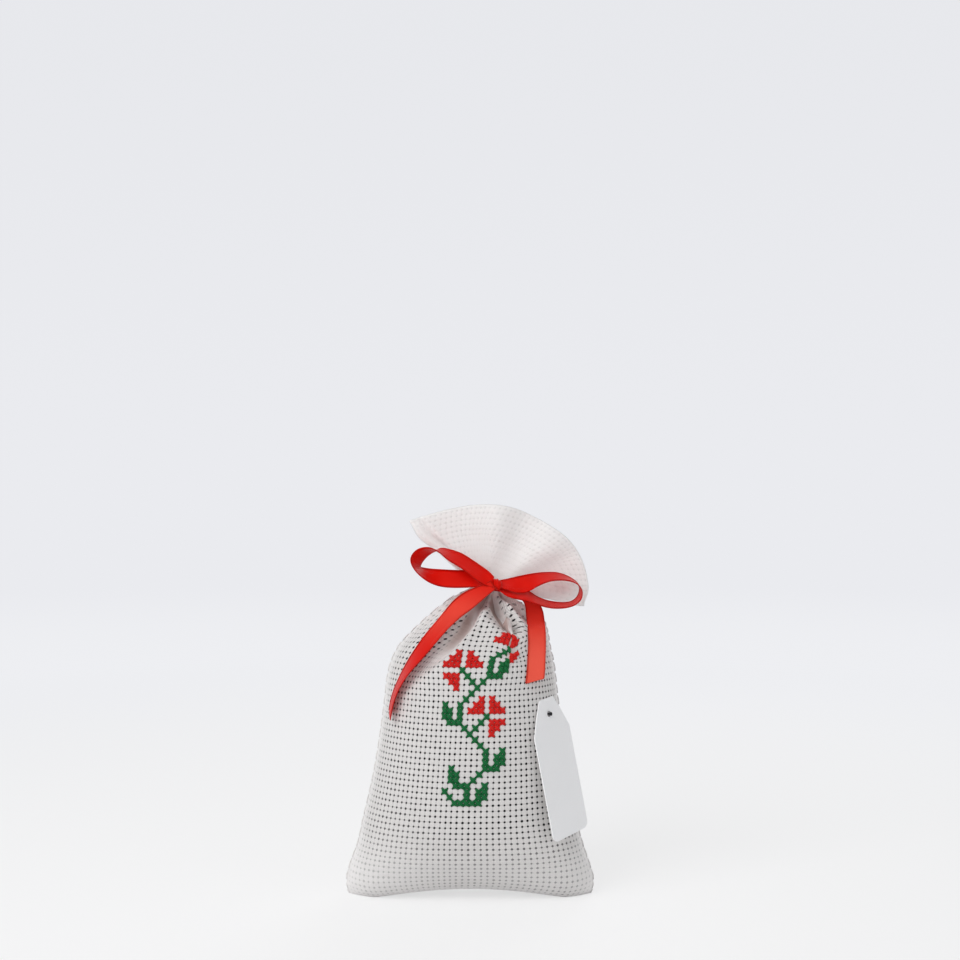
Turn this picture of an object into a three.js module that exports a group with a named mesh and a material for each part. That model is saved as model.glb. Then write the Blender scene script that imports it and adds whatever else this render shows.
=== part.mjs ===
import * as THREE from 'three';

// A cloth sachet of dried lavender, in millimetres, standing on its two bottom corners.
// +Z is up, -Y is the embroidered front, and +X is on the right when the front is seen.
// The origin is on the floor under the middle of the bag.

// Driving dimensions of the bag
const bagWidth = 81;
const bagDepth = 43;
const neckHeight = 102.5;
const neckRadius = 5.8;
const neckOffset = 7.4;
const frillReach = 32;
const clothThickness = 0.9;
const gatherThickness = 3.2;
const bottomRound = 14;
const bottomArch = 3.4;
const cornerSink = 1.1;
const restingGap = 0.3;

// Sewing and filling
const seamThreadRadius = 0.2;
const seamThreadGap = 0.9;
const fillTop = 92;
const fillRound = 14;

// Embroidery, counted in cells of the woven cloth
const cellPitch = 1.814;
const stitchThickness = 0.45;
const stitchReachShare = 0.18;
const embroideryX = -2.4;
const embroideryZ = 77.8;
const embroideryLeanShare = 0.06;
const foldStart = 13.2;

// Ribbon
const ribbonWidth = 6;
const ribbonThickness = 0.4;
const bandHalfHeight = 1.05;
const bandEase = 0.15;
const knotWidth = 4.4;
const knotHeight = 5;
const knotDepth = 3.2;
const knotRound = 0.9;
const bowReach = 27;
const knotSideShift = 0.8;
const knotLift = 1.8;
const tailClearance = 0.55;

// Card tag and the stitch that holds it
const tagWidth = 18.5;
const tagLength = 45;
const tagTopWidth = 7;
const tagShoulder = 11;
const tagBevelDepth = 0.4;
const tagCornerRadius = 2.4;
const tagThickness = 0.4;
const tagHoleRadius = 0.95;
const tagHoleDrop = 5.1;
const tagHoleX = 24.9;
const tagHoleZ = 61.4;
const tagTurn = 48;
const tagTilt = 8;
const tagLean = 7;
const tagSwingLeast = -14;
const tagSwingMost = 12;
const stitchShaftRadius = 0.45;
const stitchHeadRadius = 1.35;
const stitchHeadHeight = 0.8;

// Colours of the real materials
const clothColour = 0xe6e1de;
const lavenderColour = 0x6a5c86;
const threadColour = 0xdedad4;
const petalColour = 0xe01515;
const leafColour = 0x0b7a35;
const ribbonColour = 0xe8180c;
const cardColour = 0xe9ebee;
const knotThreadColour = 0x3a3a40;

// Outline of the bag as shares: heights of the neck height, sides of half the bag width
const bodyHeightShares = [0, 0.05, 0.1, 0.16, 0.26, 0.37, 0.47, 0.565, 0.63, 0.695, 0.75, 0.805,
  0.85, 0.905, 0.945, 0.968, 0.986];
const bodyLeftShares = [-0.985, -1, -0.973, -0.921, -0.867, -0.802, -0.756, -0.721, -0.7, -0.682,
  -0.65, -0.586, -0.489, -0.324, -0.175, -0.055, 0.0336];
const bodyRightShares = [0.985, 1, 0.968, 0.921, 0.857, 0.81, 0.77, 0.731, 0.706, 0.69, 0.675,
  0.655, 0.636, 0.59, 0.49, 0.38, 0.3175];
const bodyDepthShares = [0.72, 0.68, 0.72, 0.84, 0.945, 0.98, 1, 1, 1, 0.99, 0.965, 0.81, 0.605,
  0.42, 0.34, 0.302, 0.27];
const bodyBoxShares = [1, 0.85, 0.6, 0.36, 0.16, 0.08, 0.04, 0.02, 0, 0, 0, 0, 0, 0, 0, 0, 0];

// Outline of the frill as shares of its reach, from the middle of the neck
const frillLeftShares = [[-0.178, 0.036], [-0.167, 0.092], [-0.353, 0.153], [-0.5625, 0.3375],
  [-0.759, 0.49], [-0.859, 0.66]];
const frillMiddleShares = [[0, 0], [0.011, 0.056], [0.0625, 0.178], [0.144, 0.366],
  [0.2375, 0.553], [0.334, 0.75]];
const frillRightShares = [[0.178, -0.036], [0.19, 0.02], [0.372, -0.106], [0.616, -0.153],
  [0.856, -0.2125], [1, -0.216]];
const frillDepthShares = [1, 1, 0.62, 0.5, 0.45, 0.42];
// How much further its hem swings out on the right, and less on the left, than an even curve
const frillSwingRightShare = 0.8;
const frillSwingLeftShare = -0.15;
const neckSlopeShare = -0.2;

// Creases under the knot: place across at the neck and at the foot (-1 to 1), height of the foot
// as a share of the neck's, depth as a share of half the bag's, and width across
const frontCreaseShares = [
  { neck: -0.3, end: -0.66, foot: 0.72, depth: 0.2, width: 0.18 },
  { neck: 0.25, end: 0.66, foot: 0.72, depth: 0.14, width: 0.14 },
];
const backCreaseShares = [
  { neck: -0.68, end: -0.78, foot: 0.72, depth: 0.16, width: 0.14 },
  { neck: -0.1, end: -0.2, foot: 0.7, depth: 0.22, width: 0.14 },
  { neck: 0.4, end: 0.47, foot: 0.71, depth: 0.2, width: 0.14 },
];
const pleatCount = 5;
const pleatShare = 0.05;

// Routes of the ribbon in the front view, as shares of the bow's reach from the knot:
// [near edge x, near edge z, far edge x, far edge z, depth of the middle]
const loopLeftShares = [
  [-0.094, -0.08, -0.094, -0.01, -0.01], [-0.24, -0.07, -0.24, 0.06, 0],
  [-0.4, -0.05, -0.4, 0.14, 0.02], [-0.61, -0.03, -0.61, 0.15, 0.04],
  [-0.76, 0.02, -0.76, 0.16, 0.05], [-0.885, 0.12, -0.85, 0.18, 0.05],
  [-0.955, 0.24, -0.865, 0.21, 0.05], [-0.975, 0.32, -0.84, 0.27, 0.05],
  [-0.935, 0.4, -0.79, 0.34, 0.05], [-0.84, 0.435, -0.74, 0.38, 0.05],
  [-0.73, 0.43, -0.68, 0.4, 0.05], [-0.665, 0.39, -0.6, 0.4, 0.04],
  [-0.55, 0.33, -0.47, 0.385, 0.02], [-0.41, 0.25, -0.33, 0.33, 0],
  [-0.26, 0.15, -0.2, 0.24, 0], [-0.094, 0.02, -0.094, 0.085, 0],
];
const loopRightShares = [
  [0.094, -0.09, 0.094, -0.02, 0], [0.28, -0.135, 0.29, -0.06, -0.02],
  [0.45, -0.18, 0.49, -0.115, -0.04], [0.6, -0.225, 0.6, -0.16, -0.03],
  [0.74, -0.26, 0.75, -0.2, -0.01], [0.86, -0.265, 0.89, -0.22, 0.01],
  [1, -0.21, 1, -0.19, 0.03], [1.08, -0.12, 1.065, -0.125, 0.03],
  [1.095, -0.05, 1.09, -0.05, 0.03], [1.07, 0.03, 1.08, 0.02, 0.03],
  [0.99, 0.085, 1.01, 0.11, 0.02], [0.85, 0.09, 0.87, 0.155, 0.01],
  [0.71, 0.055, 0.74, 0.165, 0], [0.575, -0.005, 0.58, 0.15, 0],
  [0.43, -0.055, 0.4, 0.125, 0], [0.26, -0.03, 0.24, 0.1, 0],
  [0.094, 0.01, 0.094, 0.08, 0],
];
// Tails: [x, z] of the middle as shares of the bow's reach from the knot
const tailLeftShares = [[-0.09, -0.1], [-0.235, -0.19], [-0.395, -0.32], [-0.548, -0.475],
  [-0.7, -0.65], [-0.84, -0.825], [-0.96, -1], [-1.055, -1.165], [-1.12, -1.31], [-1.155, -1.45],
  [-1.175, -1.6]];
const tailRightShares = [[0.27, -0.12], [0.36, -0.15], [0.45, -0.2], [0.51, -0.28], [0.545, -0.4],
  [0.56, -0.56], [0.561, -0.75], [0.55, -0.93], [0.537, -1.09], [0.524, -1.2]];
const tailCutShare = 0.35;
const tailTuckShare = 0.62;
const tailTurnShare = 0.55;
const tailWidthShares = [-1, -0.5, 0, 0.5, 1];

const panelColumns = 22;
const bottomRows = 5;
const bodyRowShares = [0.2, 0.28, 0.37, 0.46, 0.55, 0.63, 0.7, 0.76, 0.81, 0.85, 0.89, 0.925,
  0.955, 0.971, 0.986, 1, 1.05, 1.2, 1.4, 1.6, 1.8, 2];

const halfWidth = bagWidth / 2;
const halfDepth = bagDepth / 2;
const group = new THREE.Group();

function materialOf(colour, roughness) {
  return new THREE.MeshStandardMaterial({ color: colour, roughness, metalness: 0 });
}

function addMesh(name, geometry, colour, roughness) {
  const mesh = new THREE.Mesh(geometry, materialOf(colour, roughness));
  mesh.name = name;
  group.add(mesh);
}

function mix(a, b, share) {
  return a + (b - a) * share;
}

function smooth(low, high, value) {
  const share = THREE.MathUtils.clamp((value - low) / (high - low), 0, 1);
  return share * share * (3 - 2 * share);
}

// Catmull-Rom interpolation of one column of a table over its own knots
function curveThrough(knots, values, at) {
  const last = knots.length - 1;
  let index = 0;
  while (index < last - 1 && at > knots[index + 1]) {
    index += 1;
  }
  const share = (at - knots[index]) / (knots[index + 1] - knots[index]);
  const slopeAt = (place) => {
    const before = Math.max(place - 1, 0);
    const after = Math.min(place + 1, last);
    return (values[after] - values[before]) / (knots[after] - knots[before]);
  };
  const span = knots[index + 1] - knots[index];
  const square = share * share;
  const cube = square * share;
  return values[index] * (2 * cube - 3 * square + 1)
    + slopeAt(index) * span * (cube - 2 * square + share)
    + values[index + 1] * (3 * square - 2 * cube)
    + slopeAt(index + 1) * span * (cube - square);
}

// Stations of the bag, from the floor (0) through the neck (1) to the hem of the frill (2)
function bodyStations() {
  const stations = bodyHeightShares.map((share, index) => {
    const left = bodyLeftShares[index] * halfWidth;
    const right = bodyRightShares[index] * halfWidth;
    const slope = neckSlopeShare * smooth(0.86, 1, share) * (right - left) / 2;
    const height = share * neckHeight;
    return {
      at: share,
      leftX: left,
      leftZ: height - slope,
      middleX: (left + right) / 2,
      middleZ: height,
      rightX: right,
      rightZ: height + slope,
      depth: bodyDepthShares[index] * halfDepth,
      box: bodyBoxShares[index],
      wall: mix(clothThickness, gatherThickness, smooth(0.9, 1, share)),
    };
  });
  frillLeftShares.forEach((leftShare, index) => {
    const share = index / (frillLeftShares.length - 1);
    const reach = frillReach;
    stations.push({
      at: 1 + (index === 1 ? 0.05 : share),
      leftX: neckOffset + leftShare[0] * reach,
      leftZ: neckHeight + leftShare[1] * reach,
      middleX: neckOffset + frillMiddleShares[index][0] * reach,
      middleZ: neckHeight + frillMiddleShares[index][1] * reach,
      rightX: neckOffset + frillRightShares[index][0] * reach,
      rightZ: neckHeight + frillRightShares[index][1] * reach,
      depth: frillDepthShares[index] * neckRadius,
      box: 0,
      wall: mix(gatherThickness, clothThickness, smooth(0, 0.5, share)),
    });
  });
  return stations;
}

const stations = bodyStations();
const stationKnots = stations.map((station) => station.at);
const stationNames = ['leftX', 'leftZ', 'middleX', 'middleZ', 'rightX', 'rightZ', 'depth', 'box', 'wall'];
const stationColumns = {};
for (const name of stationNames) {
  stationColumns[name] = stations.map((station) => station[name]);
}

function stationAt(at) {
  const station = { at };
  for (const name of stationNames) {
    station[name] = curveThrough(stationKnots, stationColumns[name], at);
  }
  return station;
}

// How the cross-section swells between the two side seams
function swell(u, station) {
  const power = mix(2.2, 4.2, station.box) + (station.at > 1 ? smooth(1, 1.3, station.at) : 0);
  const root = mix(0.55, 0.5, smooth(0.92, 1, station.at));
  return (1 - Math.abs(u) ** power) ** root;
}

function creaseDepth(u, at, side) {
  let depth = 0;
  for (const crease of side < 0 ? frontCreaseShares : backCreaseShares) {
    const along = THREE.MathUtils.clamp((1 - at) / (1 - crease.foot), 0, 1);
    const centre = mix(crease.neck, crease.end, along);
    const near = Math.exp(-(((u - centre) / crease.width) ** 2));
    depth += crease.depth * near * smooth(0, 0.25, along) * (1 - smooth(0.55, 1, along));
  }
  return at < 1 ? depth * halfDepth : 0;
}

function pleatDepth(u, at) {
  const gathered = smooth(0.84, 0.97, at) * (1 - 0.4 * smooth(1.1, 2, at));
  return pleatShare * neckRadius * gathered * (1 + Math.cos(2 * pleatCount * Math.PI * u));
}

// Place in the flat XZ view of a point of the cloth, drawn in from the seams by inset
function outlinePoint(u, at, inset) {
  const station = stationAt(at);
  const step = 0.01;
  const below = stationAt(Math.max(at - step, 0));
  const above = stationAt(Math.min(at + step, 2));
  const side = u < 0 ? 'left' : 'right';
  const tangentX = above[`${side}X`] - below[`${side}X`];
  const tangentZ = above[`${side}Z`] - below[`${side}Z`];
  const length = Math.hypot(tangentX, tangentZ);
  const inward = u < 0 ? 1 : -1;
  const swing = u > 0 ? frillSwingRightShare : frillSwingLeftShare;
  const bow = (1 - u * u) * (1 + swing * u * u * smooth(1, 1.4, at));
  const middleX = (station.leftX + station.rightX) / 2;
  const middleZ = (station.leftZ + station.rightZ) / 2;
  const shift = inset * Math.abs(u) * inward / length;
  const lift = 1 - smooth(0, 0.14, at);
  const arch = Math.max(0, 1 - (u / 0.78) ** 2) * bottomArch - cornerSink;
  return {
    x: middleX + (station.rightX - station.leftX) / 2 * u + (station.middleX - middleX) * bow
      + shift * tangentZ,
    z: middleZ + (station.rightZ - station.leftZ) / 2 * u + (station.middleZ - middleZ) * bow
      - shift * tangentX + (arch + inset) * lift,
    station,
  };
}

// A point of the cloth's outer face, or of a face inside it; side is -1 in front, 1 behind
function clothPoint(u, at, side, inset, thinning) {
  const { x, z, station } = outlinePoint(u, at, inset);
  const rise = THREE.MathUtils.clamp(at * neckHeight / bottomRound, 0, 1);
  const roundShare = Math.sqrt(1 - (1 - rise) ** 2) ** 0.8;
  const wall = thinning > 0 ? station.wall + thinning - clothThickness : 0;
  const creased = creaseDepth(u, at, side);
  const full = station.depth - creased - pleatDepth(u, at) - wall;
  const depth = Math.max(full, 0) * swell(u, station) * roundShare;
  return new THREE.Vector3(x, side * (restingGap / 2 + depth), Math.max(z, inset > 0 ? inset : 0));
}

function spread(count, power) {
  const places = [];
  for (let index = 0; index <= count; index += 1) {
    const even = -1 + 2 * index / count;
    places.push(mix(even, Math.sin(even * Math.PI / 2), power));
  }
  return places;
}

function bottomPlaces() {
  const places = [];
  for (let index = 0; index < bottomRows; index += 1) {
    const angle = index / bottomRows * Math.PI / 2;
    places.push((1 - Math.cos(angle)) * bottomRound / neckHeight);
  }
  places.push(bottomRound / neckHeight);
  return places;
}

// Geometry from a list of triangles, with its faces turned to point outwards
function solidFrom(points, triangles) {
  let volume = 0;
  for (const [a, b, c] of triangles) {
    volume += points[a].dot(new THREE.Vector3().crossVectors(points[b], points[c]));
  }
  const ordered = volume < 0 ? triangles.map(([a, b, c]) => [a, c, b]) : triangles;
  const geometry = new THREE.BufferGeometry();
  const places = points.flatMap((point) => point.toArray());
  geometry.setAttribute('position', new THREE.Float32BufferAttribute(places, 3));
  geometry.setIndex(ordered.flat());
  geometry.computeVertexNormals();
  return geometry;
}

// A wall between two grids of points, closed along all four edges
function shellBetween(outer, inner) {
  const rows = outer.length;
  const columns = outer[0].length;
  const points = [...outer.flat(), ...inner.flat()];
  const offset = rows * columns;
  const triangles = [];
  const quad = (a, b, c, d) => triangles.push([a, b, c], [a, c, d]);
  for (let row = 0; row < rows - 1; row += 1) {
    for (let column = 0; column < columns - 1; column += 1) {
      const a = row * columns + column;
      quad(a, a + 1, a + columns + 1, a + columns);
      quad(offset + a, offset + a + columns, offset + a + columns + 1, offset + a + 1);
    }
  }
  for (let row = 0; row < rows - 1; row += 1) {
    const left = row * columns;
    const right = left + columns - 1;
    quad(left, left + columns, offset + left + columns, offset + left);
    quad(right, offset + right, offset + right + columns, right + columns);
  }
  for (let column = 0; column < columns - 1; column += 1) {
    const top = (rows - 1) * columns + column;
    quad(column, offset + column, offset + column + 1, column + 1);
    quad(top, top + 1, offset + top + 1, offset + top);
  }
  return solidFrom(points, triangles);
}

function clothRows() {
  const bottom = bottomPlaces();
  return [...bottom, ...bodyRowShares.filter((share) => share > bottom[bottomRows])];
}

function clothGrid(side, inset, thinning) {
  const rows = clothRows();
  return rows.map((at) => spread(panelColumns, 0.8).map((u) => clothPoint(u, at, side, inset, thinning)));
}

function makePanels() {
  for (const [name, side] of [['front_panel', -1], ['back_panel', 1]]) {
    const outer = clothGrid(side, 0, 0);
    const inner = clothGrid(side, clothThickness, clothThickness);
    addMesh(name, shellBetween(outer, inner), clothColour, 0.9);
  }
}

// The filling: two grids that share their edges
function makeFill() {
  const inset = clothThickness + seamThreadGap + 2 * seamThreadRadius + restingGap * 2;
  const thinning = clothThickness + restingGap;
  const topShare = fillTop / neckHeight;
  const rowShares = [...clothRows().filter((share) => share < topShare), topShare];
  const columns = panelColumns * 2;
  const places = spread(panelColumns, 0.8);
  const points = [];
  const triangles = [];
  for (const at of rowShares) {
    const closing = Math.sqrt(THREE.MathUtils.clamp((fillTop - at * neckHeight) / fillRound, 0, 1));
    for (let index = 0; index < columns; index += 1) {
      const side = index < panelColumns ? -1 : 1;
      const u = index < panelColumns ? places[index] : places[columns - index];
      const point = clothPoint(u, at, side, inset, thinning);
      point.y = Math.sign(point.y) * Math.max(Math.abs(point.y) - restingGap / 2, 0) * closing;
      points.push(point);
    }
  }
  const rows = rowShares.length;
  for (let row = 0; row < rows - 1; row += 1) {
    for (let column = 0; column < columns; column += 1) {
      const next = (column + 1) % columns;
      const a = row * columns + column;
      const b = row * columns + next;
      triangles.push([a, b, b + columns], [a, b + columns, a + columns]);
    }
  }
  addMesh('lavender_fill', zippedEnds(points, triangles, rows, columns), lavenderColour, 1);
}

// The first and last rings lie flat at y = 0, so their two halves are one line of points
function zippedEnds(points, triangles, rows, columns) {
  const merged = new Map();
  const kept = [];
  const place = points.map((point) => {
    const key = point.toArray().map((value) => Math.round(value * 1000)).join();
    if (!merged.has(key)) {
      merged.set(key, kept.length);
      kept.push(point);
    }
    return merged.get(key);
  });
  const tidy = triangles.map((triangle) => triangle.map((index) => place[index]))
    .filter(([a, b, c]) => a !== b && b !== c && c !== a);
  return solidFrom(kept, tidy);
}

function tube(points, radius, sides, steps) {
  const curve = new THREE.CatmullRomCurve3(points, false, 'centripetal');
  const section = new THREE.Shape();
  for (let index = 0; index < sides; index += 1) {
    const angle = index / sides * 2 * Math.PI;
    const x = radius * Math.cos(angle);
    const y = radius * Math.sin(angle);
    if (index === 0) {
      section.moveTo(x, y);
    } else {
      section.lineTo(x, y);
    }
  }
  section.closePath();
  return new THREE.ExtrudeGeometry(section, { steps, extrudePath: curve, bevelEnabled: false });
}

function makeSeams() {
  const inset = clothThickness + seamThreadGap + seamThreadRadius;
  const startShare = 0.03;
  const endShare = 1.97;
  const sideSteps = 44;
  for (const [name, u] of [['seam_thread_left', -1], ['seam_thread_right', 1]]) {
    const points = [];
    for (let step = 0; step <= sideSteps; step += 1) {
      const at = mix(startShare, endShare, step / sideSteps);
      const gathered = smooth(0.85, 0.97, at) - smooth(1.04, 1.2, at);
      const { x, z } = outlinePoint(u, at, inset + gathered * seamThreadGap);
      points.push(new THREE.Vector3(x, 0, Math.max(z, inset + seamThreadRadius)));
    }
    addMesh(name, tube(points, seamThreadRadius, 5, sideSteps), threadColour, 0.8);
  }
  const bottomSteps = 24;
  const points = [];
  for (let step = 0; step <= bottomSteps; step += 1) {
    const u = mix(-0.93, 0.93, step / bottomSteps);
    const { x, z } = outlinePoint(u, 0, inset);
    points.push(new THREE.Vector3(x, 0, Math.max(z, inset + seamThreadRadius)));
  }
  addMesh('seam_thread_bottom', tube(points, seamThreadRadius, 5, bottomSteps), threadColour, 0.8);
}

// Flat facets of the front panel's outer face, for what lies on it
function frontFacets() {
  const grid = clothGrid(-1, 0, 0);
  const facets = [];
  for (let row = 0; row < grid.length - 1; row += 1) {
    for (let column = 0; column < grid[row].length - 1; column += 1) {
      const a = grid[row][column];
      const b = grid[row][column + 1];
      const c = grid[row + 1][column + 1];
      const d = grid[row + 1][column];
      facets.push([a, b, c], [a, c, d]);
    }
  }
  return facets.map((corners) => ({
    corners,
    lowX: Math.min(...corners.map((point) => point.x)),
    highX: Math.max(...corners.map((point) => point.x)),
    lowZ: Math.min(...corners.map((point) => point.z)),
    highZ: Math.max(...corners.map((point) => point.z)),
  }));
}

const facets = frontFacets();

// Front face of the bag over a place of the flat XZ view; beside the bag it is the middle plane
function frontFace(x, z) {
  let face = 0;
  for (const { corners, lowX, highX, lowZ, highZ } of facets) {
    if (x < lowX || x > highX || z < lowZ || z > highZ) {
      continue;
    }
    const [a, b, c] = corners;
    const area = (b.x - a.x) * (c.z - a.z) - (c.x - a.x) * (b.z - a.z);
    if (area === 0) {
      continue;
    }
    const s = ((x - a.x) * (c.z - a.z) - (c.x - a.x) * (z - a.z)) / area;
    const t = ((b.x - a.x) * (z - a.z) - (x - a.x) * (b.z - a.z)) / area;
    if (s >= 0 && t >= 0 && s + t <= 1) {
      face = Math.min(face, a.y + s * (b.y - a.y) + t * (c.y - a.y));
    }
  }
  return face;
}

function frontNormal(x, z) {
  const step = cellPitch / 2;
  const slopeX = (frontFace(x + step, z) - frontFace(x - step, z)) / (2 * step);
  const slopeZ = (frontFace(x, z + step) - frontFace(x, z - step)) / (2 * step);
  return new THREE.Vector3(slopeX, -1, slopeZ).normalize();
}

// Place of a corner of the counted cells on the front; the crease on the right draws it together
function cellPoint(column, row, lift) {
  const flatX = (column + embroideryLeanShare * row) * cellPitch;
  const beyond = Math.max(flatX - foldStart, 0);
  const squeezeShare = 0.45;
  const dropShare = 0.5;
  const x = embroideryX + flatX - beyond * squeezeShare;
  const z = embroideryZ + row * cellPitch - beyond * dropShare - Math.max(row - 3, 0) * cellPitch * 0.15;
  const normal = frontNormal(x, z);
  return new THREE.Vector3(x, frontFace(x, z), z).addScaledVector(normal, lift);
}

// A patch of stitches over a set of cells; reach lets stitches that meet at a corner join.
// A patch with a centre is a petal, and keeps clear of the stitch on that centre.
function stitchPatch(cells, reach, centre) {
  const clearOf = (place, middle) => {
    const beside = Math.abs(place - middle) === 0.5;
    return beside ? place + Math.sign(place - middle) * (stitchReachShare + restingGap / cellPitch) : place;
  };
  const strips = new Set();
  for (const [column, row] of cells) {
    if (reach === 0) {
      strips.add(`${column},${row}`);
      continue;
    }
    for (const across of [-1, 0, 1]) {
      for (const up of [-1, 0, 1]) {
        strips.add(`${2 * column + across},${2 * row + up}`);
      }
    }
  }
  const lineAt = (index) => {
    if (reach === 0) {
      return index - 0.5;
    }
    return Math.floor(index / 2) + (index % 2 === 0 ? -0.5 + reach : 0.5 - reach);
  };
  const points = [];
  const places = new Map();
  const cornerAt = (column, row, level) => {
    const key = `${column},${row},${level}`;
    if (!places.has(key)) {
      places.set(key, points.length);
      const lift = restingGap + level * stitchThickness;
      const place = [lineAt(column), lineAt(row)];
      const clear = centre ? place.map((value, axis) => clearOf(value, centre[axis])) : place;
      points.push(cellPoint(...clear, lift));
    }
    return places.get(key);
  };
  const triangles = [];
  const quad = (a, b, c, d) => triangles.push([a, b, c], [a, c, d]);
  for (const strip of strips) {
    const [column, row] = strip.split(',').map(Number);
    const ring = [[column, row], [column + 1, row], [column + 1, row + 1], [column, row + 1]];
    const low = ring.map(([c, r]) => cornerAt(c, r, 0));
    const high = ring.map(([c, r]) => cornerAt(c, r, 1));
    quad(high[0], high[1], high[2], high[3]);
    quad(low[0], low[3], low[2], low[1]);
    const besides = [[column, row - 1], [column + 1, row], [column, row + 1], [column - 1, row]];
    besides.forEach(([c, r], edge) => {
      if (!strips.has(`${c},${r}`)) {
        const next = (edge + 1) % 4;
        quad(low[edge], low[next], high[next], high[edge]);
      }
    });
  }
  return solidFrom(points, triangles);
}

// A petal is a staircase of cells in one quarter of a flower: three, two and one
function petalCells(centre, acrossSign, upSign) {
  const cells = [];
  for (let row = 1; row <= 3; row += 1) {
    for (let column = 1; column <= 4 - row; column += 1) {
      cells.push([centre[0] + acrossSign * column, centre[1] + upSign * row]);
    }
  }
  return cells;
}

function stemCells(start, step, count) {
  const cells = [];
  for (let index = 0; index < count; index += 1) {
    cells.push([start[0] + step[0] * index, start[1] + step[1] * index]);
  }
  return cells;
}

// A leaf leaves its base sideways and climbs in steps of two cells
function leafCells(base, sign) {
  const steps = [[1, 0], [2, 0], [2, 1], [3, 1], [2, 2], [3, 2], [3, 3]];
  return steps.map(([across, up]) => [base[0] + sign * across, base[1] + up]);
}

const flowers = [
  { name: 'flower_left', centre: [0, 0], toStem: [1, -1] },
  { name: 'flower_middle', centre: [5, -8], toStem: [-1, -1] },
  { name: 'flower_top', centre: [8, 5], toStem: [-1, -1] },
];
const leafBases = [[5, -1, 1], [0, -9, -1], [5, -17, 1], [2, -20, -1], [2, -23, 1]];

function makeEmbroidery() {
  for (const flower of flowers) {
    const quarters = [[-1, 1], [1, 1], [-1, -1], [1, -1]];
    const open = quarters.filter(([a, b]) => a !== flower.toStem[0] || b !== flower.toStem[1]);
    open.forEach(([acrossSign, upSign], index) => {
      const cells = petalCells(flower.centre, acrossSign, upSign);
      addMesh(`${flower.name}_petal_${index + 1}`, stitchPatch(cells, 0, flower.centre), petalColour, 0.55);
    });
  }
  const green = [];
  for (const flower of flowers) {
    green.push(...stemCells(flower.centre, flower.toStem, 4));
  }
  for (const [column, row, sign] of leafBases) {
    green.push(...leafCells([column, row], sign));
  }
  green.push(...stemCells([5, 2], [0, -1], 4), ...stemCells([4, -2], [-1, -1], 4));
  green.push(...stemCells([0, -6], [0, -1], 4), ...stemCells([1, -10], [1, -1], 4));
  green.push(...stemCells([5, -14], [0, -1], 4), ...stemCells([4, -18], [-1, -1], 3));
  green.push(...stemCells([2, -21], [0, -1], 3), ...stemCells([1, -23], [-1, 0], 2));
  green.push(...stemCells([-1, -22], [-1, 1], 2));
  addMesh('vine_stitching', stitchPatch(green, stitchReachShare), leafColour, 0.55);
}

const bandInner = neckRadius + restingGap + bandEase;
const bandOuter = bandInner + ribbonThickness;
const knotFront = bandOuter + restingGap + knotDepth;
const knotMiddleY = -(knotFront - knotDepth / 2);
const knotX = neckOffset - knotSideShift;
const knotZ = neckHeight + knotLift;

// A flat strip between two edges, given as lists of points
function ribbonStrip(nearEdge, farEdge) {
  const rings = [];
  const last = nearEdge.length - 1;
  for (let index = 0; index <= last; index += 1) {
    const before = Math.max(index - 1, 0);
    const after = Math.min(index + 1, last);
    const along = new THREE.Vector3().addVectors(nearEdge[after], farEdge[after]);
    along.sub(nearEdge[before]).sub(farEdge[before]);
    const across = new THREE.Vector3().subVectors(nearEdge[index], farEdge[index]);
    const normal = new THREE.Vector3().crossVectors(along, across).normalize();
    const half = ribbonThickness / 2;
    rings.push([
      nearEdge[index].clone().addScaledVector(normal, half),
      nearEdge[index].clone().addScaledVector(normal, -half),
      farEdge[index].clone().addScaledVector(normal, -half),
      farEdge[index].clone().addScaledVector(normal, half),
    ]);
  }
  const points = rings.flat();
  const triangles = [[0, 1, 2], [0, 2, 3]];
  for (let index = 0; index < last; index += 1) {
    for (let corner = 0; corner < 4; corner += 1) {
      const a = index * 4 + corner;
      const b = index * 4 + (corner + 1) % 4;
      triangles.push([a, a + 4, b + 4], [a, b + 4, b]);
    }
  }
  const end = last * 4;
  triangles.push([end, end + 2, end + 1], [end, end + 3, end + 2]);
  return solidFrom(points, triangles);
}

// Both edges keep the ribbon's width: what the front view hides of it runs in depth
function loopEdges(shares, steps) {
  const near = [];
  const far = [];
  const knots = shares.map((row, index) => index / (shares.length - 1));
  for (let step = 0; step <= steps; step += 1) {
    const at = step / steps;
    const [nearX, nearZ, farX, farZ, middle] = [0, 1, 2, 3, 4].map(
      (column) => curveThrough(knots, shares.map((row) => row[column]), at) * bowReach);
    const gathered = Math.min(smooth(0, 0.1, at), 1 - smooth(0.9, 1, at));
    const width = mix(ribbonWidth * 0.62, ribbonWidth, gathered);
    const seen = Math.min(Math.hypot(nearX - farX, nearZ - farZ), width);
    const hidden = Math.sqrt(width * width - seen * seen) / 2;
    const y = knotMiddleY + middle;
    near.push(new THREE.Vector3(knotX + nearX, y - hidden, knotZ + nearZ));
    far.push(new THREE.Vector3(knotX + farX, y + hidden, knotZ + farZ));
  }
  return [near, far];
}

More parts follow.
